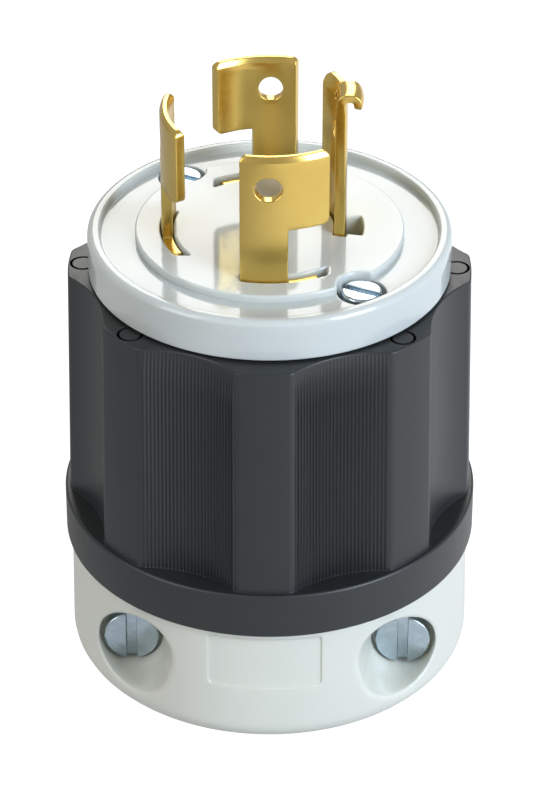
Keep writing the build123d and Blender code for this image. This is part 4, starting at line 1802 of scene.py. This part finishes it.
    def rim_of(self, inside: Shape, near: Callable[[Array], Array], centre: Array) -> Array:
        """Ordered loop of the copied points that lie on a round edge.

        Args:
            inside: The copied inside.
            near: Picks the points of the edge.
            centre: Centre of the edge.

        Returns:
            Its points, sorted by their angle about the centre.
        """
        used = inside.points[0][np.unique(np.array(inside.faces))]
        edge = used[near(used)]
        flat = edge[:, :2] if len(centre) == 2 else edge[:, [0, 2]]
        spoke = flat - centre[:2]
        return edge[np.argsort(np.arctan2(spoke[:, 1], spoke[:, 0]))]

    def shape(self, source: bpy.types.Object) -> Shape:
        """The whole cap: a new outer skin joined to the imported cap's inside.

        Args:
            source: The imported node.

        Returns:
            Closed patches: inside, pockets, panel, skin, foot and top edge.
        """
        shape = self.kept_inside(source)
        axis = np.zeros(2)
        near = self.tolerance

        def on_edge(radius: float, height: float) -> Callable[[Array], Array]:
            """Picks points on a round edge about the axis."""
            return lambda p: (np.abs(np.hypot(p[:, 0], p[:, 1]) - radius) < 2 * near) & (
                np.abs(p[:, 2] - height) < near
            )

        def on_seat(side: int) -> Callable[[Array], Array]:
            """Picks points on the edge of a shank hole."""
            return lambda p: (np.abs(p[:, 1] - self.seat_y) < near) & (
                np.hypot(p[:, 0] - side * self.screw_x, p[:, 2] - self.screw_z) < self.seat_reach
            )

        holes = []
        for side in (-1, 1):
            centre = np.array([side * self.screw_x, self.screw_z, 0.0])
            edge = self.rim_of(shape, on_seat(side), centre)
            holes.append(edge[:, [0, 2]])
        spigot = self.rim_of(shape, on_edge(self.spigot_radius, self.height), axis)
        cord = self.rim_of(shape, on_edge(self.hole_radius, self.hole_edge), axis)
        loops = [self.pocket(shape, side, hole) for side, hole in zip((-1, 1), holes)]
        loops.append(self.panel(shape))
        self.skin(shape, loops)
        self.foot(shape, cord)
        edge = self.radius_at(np.array([self.height]))[0]
        upper = rounded_path(
            [
                (edge, self.height - self.top_edge * 2, 0.0),
                (edge, self.height, self.top_edge),
                (edge - self.top_edge * 2, self.height, 0.0),
            ]
        )
        upper[0] = np.stack(self.section(self.length_at(upper[:1, 1]))).ravel()
        shape.grid(turned(upper))
        ledge = polar(upper[-1, 0], round_angles())
        shape.fill([ledge, spigot[:, :2]], at_height(self.height))
        return shape

    def skin(self, shape: Shape, loops: Sequence[Array]) -> None:
        """Adds the outer surface round the pockets and the panel, drawn flat and wrapped.

        Args:
            shape: Takes the patch.
            loops: Flat loops left open.
        """
        half = math.pi * self.foot_radius
        low = float(self.length_at(np.array(self.skin_foot)))
        high = float(self.length_at(np.array(self.height - self.top_edge * 2)))
        across = np.radians(np.linspace(-180.0, 180.0, ROUND_COLUMNS + 1)) * self.foot_radius
        side = np.linspace(low, high, self.side_points)[1:-1]
        border = np.concatenate(
            (
                np.column_stack((across, np.full(len(across), low))),
                np.column_stack((np.full(len(side), half), side)),
                np.column_stack((across[::-1], np.full(len(across), high))),
                np.column_stack((np.full(len(side), -half), side[::-1])),
            )
        )
        shape.fill([border, *loops], self.sunk(0.0), self.skin_spacing)

    def foot(self, shape: Shape, cord: Array) -> None:
        """Adds the start of the rounded foot, its flat ring and the rounded edge of the cord hole.

        Args:
            shape: Takes the patches.
            cord: Edge of the cord hole's wall.
        """
        low = float(self.length_at(np.array(self.skin_foot)))
        curve = np.stack(self.section(np.linspace(low, 0.0, self.foot_rows)), axis=-1)
        flat = self.hole_radius + self.hole_edge
        shape.grid(turned(np.concatenate((curve, [[flat, 0.0]]))))
        rows = []
        angles = np.degrees(np.arctan2(cord[:, 0], -cord[:, 1]))
        for turn in QUARTER:
            radius = flat - self.hole_edge * math.sin(turn)
            height = self.hole_edge * (1 - math.cos(turn))
            rows.append(at_height(height)(polar(np.full(len(cord), radius), angles)))
        rows[-1] = cord
        shape.grid(np.stack(rows))

    def build(self, source: bpy.types.Object, material: bpy.types.Material) -> bpy.types.Object:
        """Makes the cap's piece."""
        return make_piece(
            "cap_moulding", self.shape(source), material, Slot.LIGHT_NYLON, ["cord_cap"]
        )


# Stage


@dataclass(frozen=True)
class Lamp:
    """Soft rectangular lamp: place, width and height in metres, power in watts."""

    name: str
    spot: tuple[float, float, float]
    size: tuple[float, float]
    power: float
    colour: str


# A bright lamp behind, whose glare lies on the face, and a soft one each side in front
SOFTBOXES = (
    Lamp("back_softbox", (0.0, 0.95, 0.69), (0.55, 0.5), 4.2, "#fffdf8"),
    Lamp("left_softbox", (-0.8, -0.6, 0.45), (0.5, 0.8), 4.5, "#ffffff"),
    Lamp("right_softbox", (0.8, -0.6, 0.45), (0.5, 0.8), 13.5, "#e4f0ff"),
)


@dataclass
class Studio:
    """Pale floor, soft lamps, white surroundings and the camera of the photograph."""

    focal: float = 159.28
    distance: float = 442.2
    elevation: float = 33.28
    azimuth: float = 1.4
    aim_height: float = 35.77
    aim_side: float = -0.197
    floor_half: float = 3.0
    floor_colour: str = "#a0a0a0"
    floor_glow: float = 0.92
    mirrored_left: float = 0.17
    mirrored_right: float = 0.72
    mirrored_span: float = 0.08
    ambient: float = 0.3
    mirrored: float = 0.5
    lamp_set: tuple[Lamp, ...] = SOFTBOXES

    def brightness(
        self,
        tree: bpy.types.NodeTree,
        seen: float,
        mirrored: float | bpy.types.NodeSocket,
        lighting: float,
    ) -> bpy.types.NodeSocket:
        """Strength of a white surface by the kind of ray that meets it.

        Args:
            tree: Tree that takes the nodes.
            seen: Strength where the camera sees it, straight or through something clear.
            mirrored: Strength in reflections.
            lighting: Strength with which it lights the object.

        Returns:
            The strength for the current ray.
        """
        rays = add_node(tree, "ShaderNodeLightPath").outputs
        straight = {0: rays["Is Camera Ray"], 1: rays["Is Transmission Ray"]}
        direct = add_node(tree, "ShaderNodeMath", straight, operation="MAXIMUM").outputs[0]
        glossy = {"Value": rays["Is Glossy Ray"], "To Min": lighting, "To Max": mirrored}
        reflected = add_node(tree, "ShaderNodeMapRange", glossy).outputs["Result"]
        either = {"Value": direct, "To Min": reflected, "To Max": seen}
        return add_node(tree, "ShaderNodeMapRange", either).outputs["Result"]

    def world(self) -> None:
        """White surroundings, dimmer in reflections and dimmer still as light."""
        world = bpy.data.worlds.new("studio_white")
        bpy.context.scene.world = world
        world.use_nodes = True
        tree = world.node_tree
        tree.nodes.clear()
        strength = self.brightness(tree, 1.0, self.mirrored, self.ambient)
        sky = add_node(
            tree, "ShaderNodeBackground", {"Color": linear("#ffffff"), "Strength": strength}
        )
        add_node(tree, "ShaderNodeOutputWorld", {"Surface": sky.outputs[0]})

    def floor(self) -> None:
        """Pale floor that keeps the shadow and brightens to white where it is seen.

        In mirrors it is dim on the left and bright on the right, like a dark and a white card.
        """
        shape = Shape()
        half = self.floor_half / MM
        corners = np.array([(-half, -half, 0), (half, -half, 0), (half, half, 0), (-half, half, 0)])
        shape.add(corners, [[0, 1, 2, 3]])
        material, tree = new_tree("pale_floor")
        matt = add_node(tree, "ShaderNodeBsdfDiffuse", {"Color": linear(self.floor_colour)})
        spot = add_node(tree, "ShaderNodeTexCoord").outputs["Object"]
        across = add_node(tree, "ShaderNodeSeparateXYZ", {"Vector": spot}).outputs["X"]
        sides = {
            "Value": across,
            "From Min": -self.mirrored_span,
            "From Max": self.mirrored_span,
            "To Min": self.mirrored_left,
            "To Max": self.mirrored_right,
        }
        mirrored = add_node(
            tree, "ShaderNodeMapRange", sides, interpolation_type="SMOOTHSTEP"
        ).outputs["Result"]
        glow = self.brightness(tree, self.floor_glow, mirrored, 0.0)
        light = add_node(
            tree, "ShaderNodeEmission", {"Color": linear("#ffffff"), "Strength": glow}
        )
        both = add_node(tree, "ShaderNodeAddShader", {0: matt.outputs[0], 1: light.outputs[0]})
        add_node(tree, "ShaderNodeOutputMaterial", {"Surface": both.outputs[0]})
        floor = bpy.data.objects.new("floor", shape.mesh("floor"))
        bpy.context.scene.collection.objects.link(floor)
        floor.data.materials.append(material)

    def lamps(self) -> None:
        """Adds the lamps, each looking at the plug."""
        for lamp in self.lamp_set:
            light = bpy.data.lights.new(lamp.name, "AREA")
            light.shape = "RECTANGLE"
            light.size, light.size_y = lamp.size
            light.energy = lamp.power
            light.color = linear(lamp.colour)[:3]
            place = bpy.data.objects.new(lamp.name, light)
            bpy.context.scene.collection.objects.link(place)
            place.location = lamp.spot
            aim = Vector((0.0, 0.0, self.aim_height * MM)) - place.location
            place.rotation_euler = aim.to_track_quat("-Z", "Y").to_euler()

    def camera(self) -> None:
        """Camera at the photograph's viewing angle, with its aim a little left of the axis."""
        turn, tilt = math.radians(self.azimuth), math.radians(self.elevation)
        back = Vector(
            (
                math.sin(turn) * math.cos(tilt),
                -math.cos(turn) * math.cos(tilt),
                math.sin(tilt),
            )
        )
        right = Vector((math.cos(turn), math.sin(turn), 0.0))
        aim = right * self.aim_side * MM + Vector((0.0, 0.0, self.aim_height * MM))
        data = bpy.data.cameras.new("camera")
        data.lens = self.focal
        data.clip_start = 0.01
        data.clip_end = 20.0
        camera = bpy.data.objects.new("camera", data)
        bpy.context.scene.collection.objects.link(camera)
        camera.location = aim + back * self.distance * MM
        camera.rotation_euler = (-back).to_track_quat("-Z", "Y").to_euler()
        bpy.context.scene.camera = camera

    def build(self) -> None:
        """Sets up the whole stage."""
        bpy.context.scene.view_settings.view_transform = "Standard"
        self.world()
        self.floor()
        self.lamps()
        self.camera()


# The plug


def dress(nodes: dict, names: Sequence[str], material: bpy.types.Material) -> None:
    """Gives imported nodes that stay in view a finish."""
    for name in names:
        for slot in nodes[name].material_slots:
            slot.material = material
        LOG.info("%s: dressed as %s", name, material.name)


@dataclass
class Plug:
    """The whole plug: reads its heights from the frame and builds the sub-assemblies in order."""

    nodes: dict
    screw_angles: tuple[float, float] = (40.0, 220.0)
    screw_circle: float = 17.4
    slot_turn: float = 25.0
    head_lift: float = 0.4
    grip_lift: float = 0.4
    band_tuck: float = 0.18
    cap_gap: float = 0.3
    cap_proud: float = 0.25
    clamp_head: float = 1.6
    long_head: float = 1.8

    def box(self, node: str) -> tuple[Array, Array]:
        """Lowest and highest corner of a node in mm."""
        low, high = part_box(node)
        return np.array(low) / MM, np.array(high) / MM

    def blades(self, top: float) -> list[Blade]:
        """The four blades."""
        return [
            Blade("blade_x", 0.0, top),
            NeutralBlade("blade_neutral", 90.0, top),
            Blade("blade_y", 180.0, top),
            Blade("blade_z", 270.0, top),
        ]

    def clamp_screws(self, material: bpy.types.Material) -> None:
        """The two screws in the cap's pockets, slots upright."""
        for name in ("clamp_screw_left", "clamp_screw_right"):
            low, high = self.box(name)
            x, z = (low[0] + high[0]) / 2, (low[2] + high[2]) / 2
            screw = Screw(
                head_radius=(high[0] - low[0]) / 2,
                head_height=self.clamp_head,
                slot_width=1.3,
                slot_depth=0.8,
                shank_radius=1.75,
                shank_length=high[1] - low[1] - self.clamp_head,
            )
            seat = low[1] + screw.head_height

            def place(p: Array, x: float = x, z: float = z, seat: float = seat) -> Array:
                """Lays the screw along Y with its head on its seat."""
                return np.column_stack((p[:, 0] + x, seat - p[:, 2], p[:, 1] + z))

            def from_axis(p: Array, x: float = x, z: float = z) -> Array:
                """Distances from the screw's axis."""
                return np.hypot(p[:, 0] - x, p[:, 2] - z)

            screw.piece(name, place, from_axis, material)

    def long_screws(self, material: bpy.types.Material) -> None:
        """The two screws sunk in the face."""
        for name, angle in zip(("long_screw_front", "long_screw_back"), self.screw_angles):
            low, high = self.box(name)
            x, y = polar(self.screw_circle, angle)
            screw = Screw(
                head_radius=2.45,
                head_height=self.long_head + self.head_lift,
                slot_width=0.95,
                slot_depth=0.8,
                shank_radius=1.7,
                shank_length=high[2] - low[2] - self.long_head,
                crown=0.0,
            )
            turn = math.radians(angle + self.slot_turn)
            spin = np.array(
                [[math.cos(turn), math.sin(turn)], [-math.sin(turn), math.cos(turn)]]
            )
            seat = high[2] - screw.head_height + self.head_lift

            def place(p: Array, x: float = x, y: float = y, seat: float = seat) -> Array:
                """Turns the screw about its axis and stands it on its seat."""
                return np.column_stack((p[:, :2] @ spin + (x, y), p[:, 2] + seat))

            def from_axis(p: Array, x: float = x, y: float = y) -> Array:
                """Distances from the screw's axis."""
                return np.hypot(p[:, 0] - x, p[:, 1] - y)

            screw.piece(name, place, from_axis, material)

    def build(self) -> None:
        """Builds and dresses every piece."""
        light, face_nylon_painted_shade = LIGHT_NYLON.build(), FACE_NYLON_PAINTED_SHADE.build()
        dark, block = DARK_NYLON.build(), BLOCK_NYLON.build()
        brass, zinc = BrushedBrass().build(), ZincSteel().build()
        face_low, face_high = self.box("face_plate")
        blades = self.blades(face_high[2])
        face = Face(face_high[0], face_low[2], face_high[2], self.screw_angles, self.screw_circle)
        # The face takes a copy of the light nylon darkened with painted shade
        face.build([blade.slot() for blade in blades], face_nylon_painted_shade)
        for blade in blades:
            blade.build(brass)
        grip_low, grip_high = self.box("grip_shell")
        grip_top = grip_high[2] + self.grip_lift
        Grip(grip_low[2], grip_top, grip_high[0] - self.band_tuck).build(dark)
        cap_high = self.box("cord_cap")[1]
        cap = Cap(grip_low[2] - self.cap_gap, cap_high[0] + self.cap_proud)
        cap.build(self.nodes["cord_cap"], light)
        self.clamp_screws(zinc)
        self.long_screws(zinc)
        phases = ("x", "y", "z", "neutral")
        dress(self.nodes, ["terminal_block", "clamp_jaw"], block)
        dress(self.nodes, [f"wire_plate_{phase}" for phase in phases], brass)
        dress(self.nodes, ["threaded_insert_front", "threaded_insert_back"], brass)
        dress(self.nodes, [f"terminal_screw_{phase}" for phase in phases], zinc)
        dress(self.nodes, ["clamp_nut_left", "clamp_nut_right"], zinc)


def main() -> None:
    """Loads the frame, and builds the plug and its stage."""
    logging.basicConfig(level=logging.INFO, format="%(message)s")
    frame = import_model()
    Plug(frame["nodes"]).build()
    Studio().build()


if __name__ == "__main__":
    main()
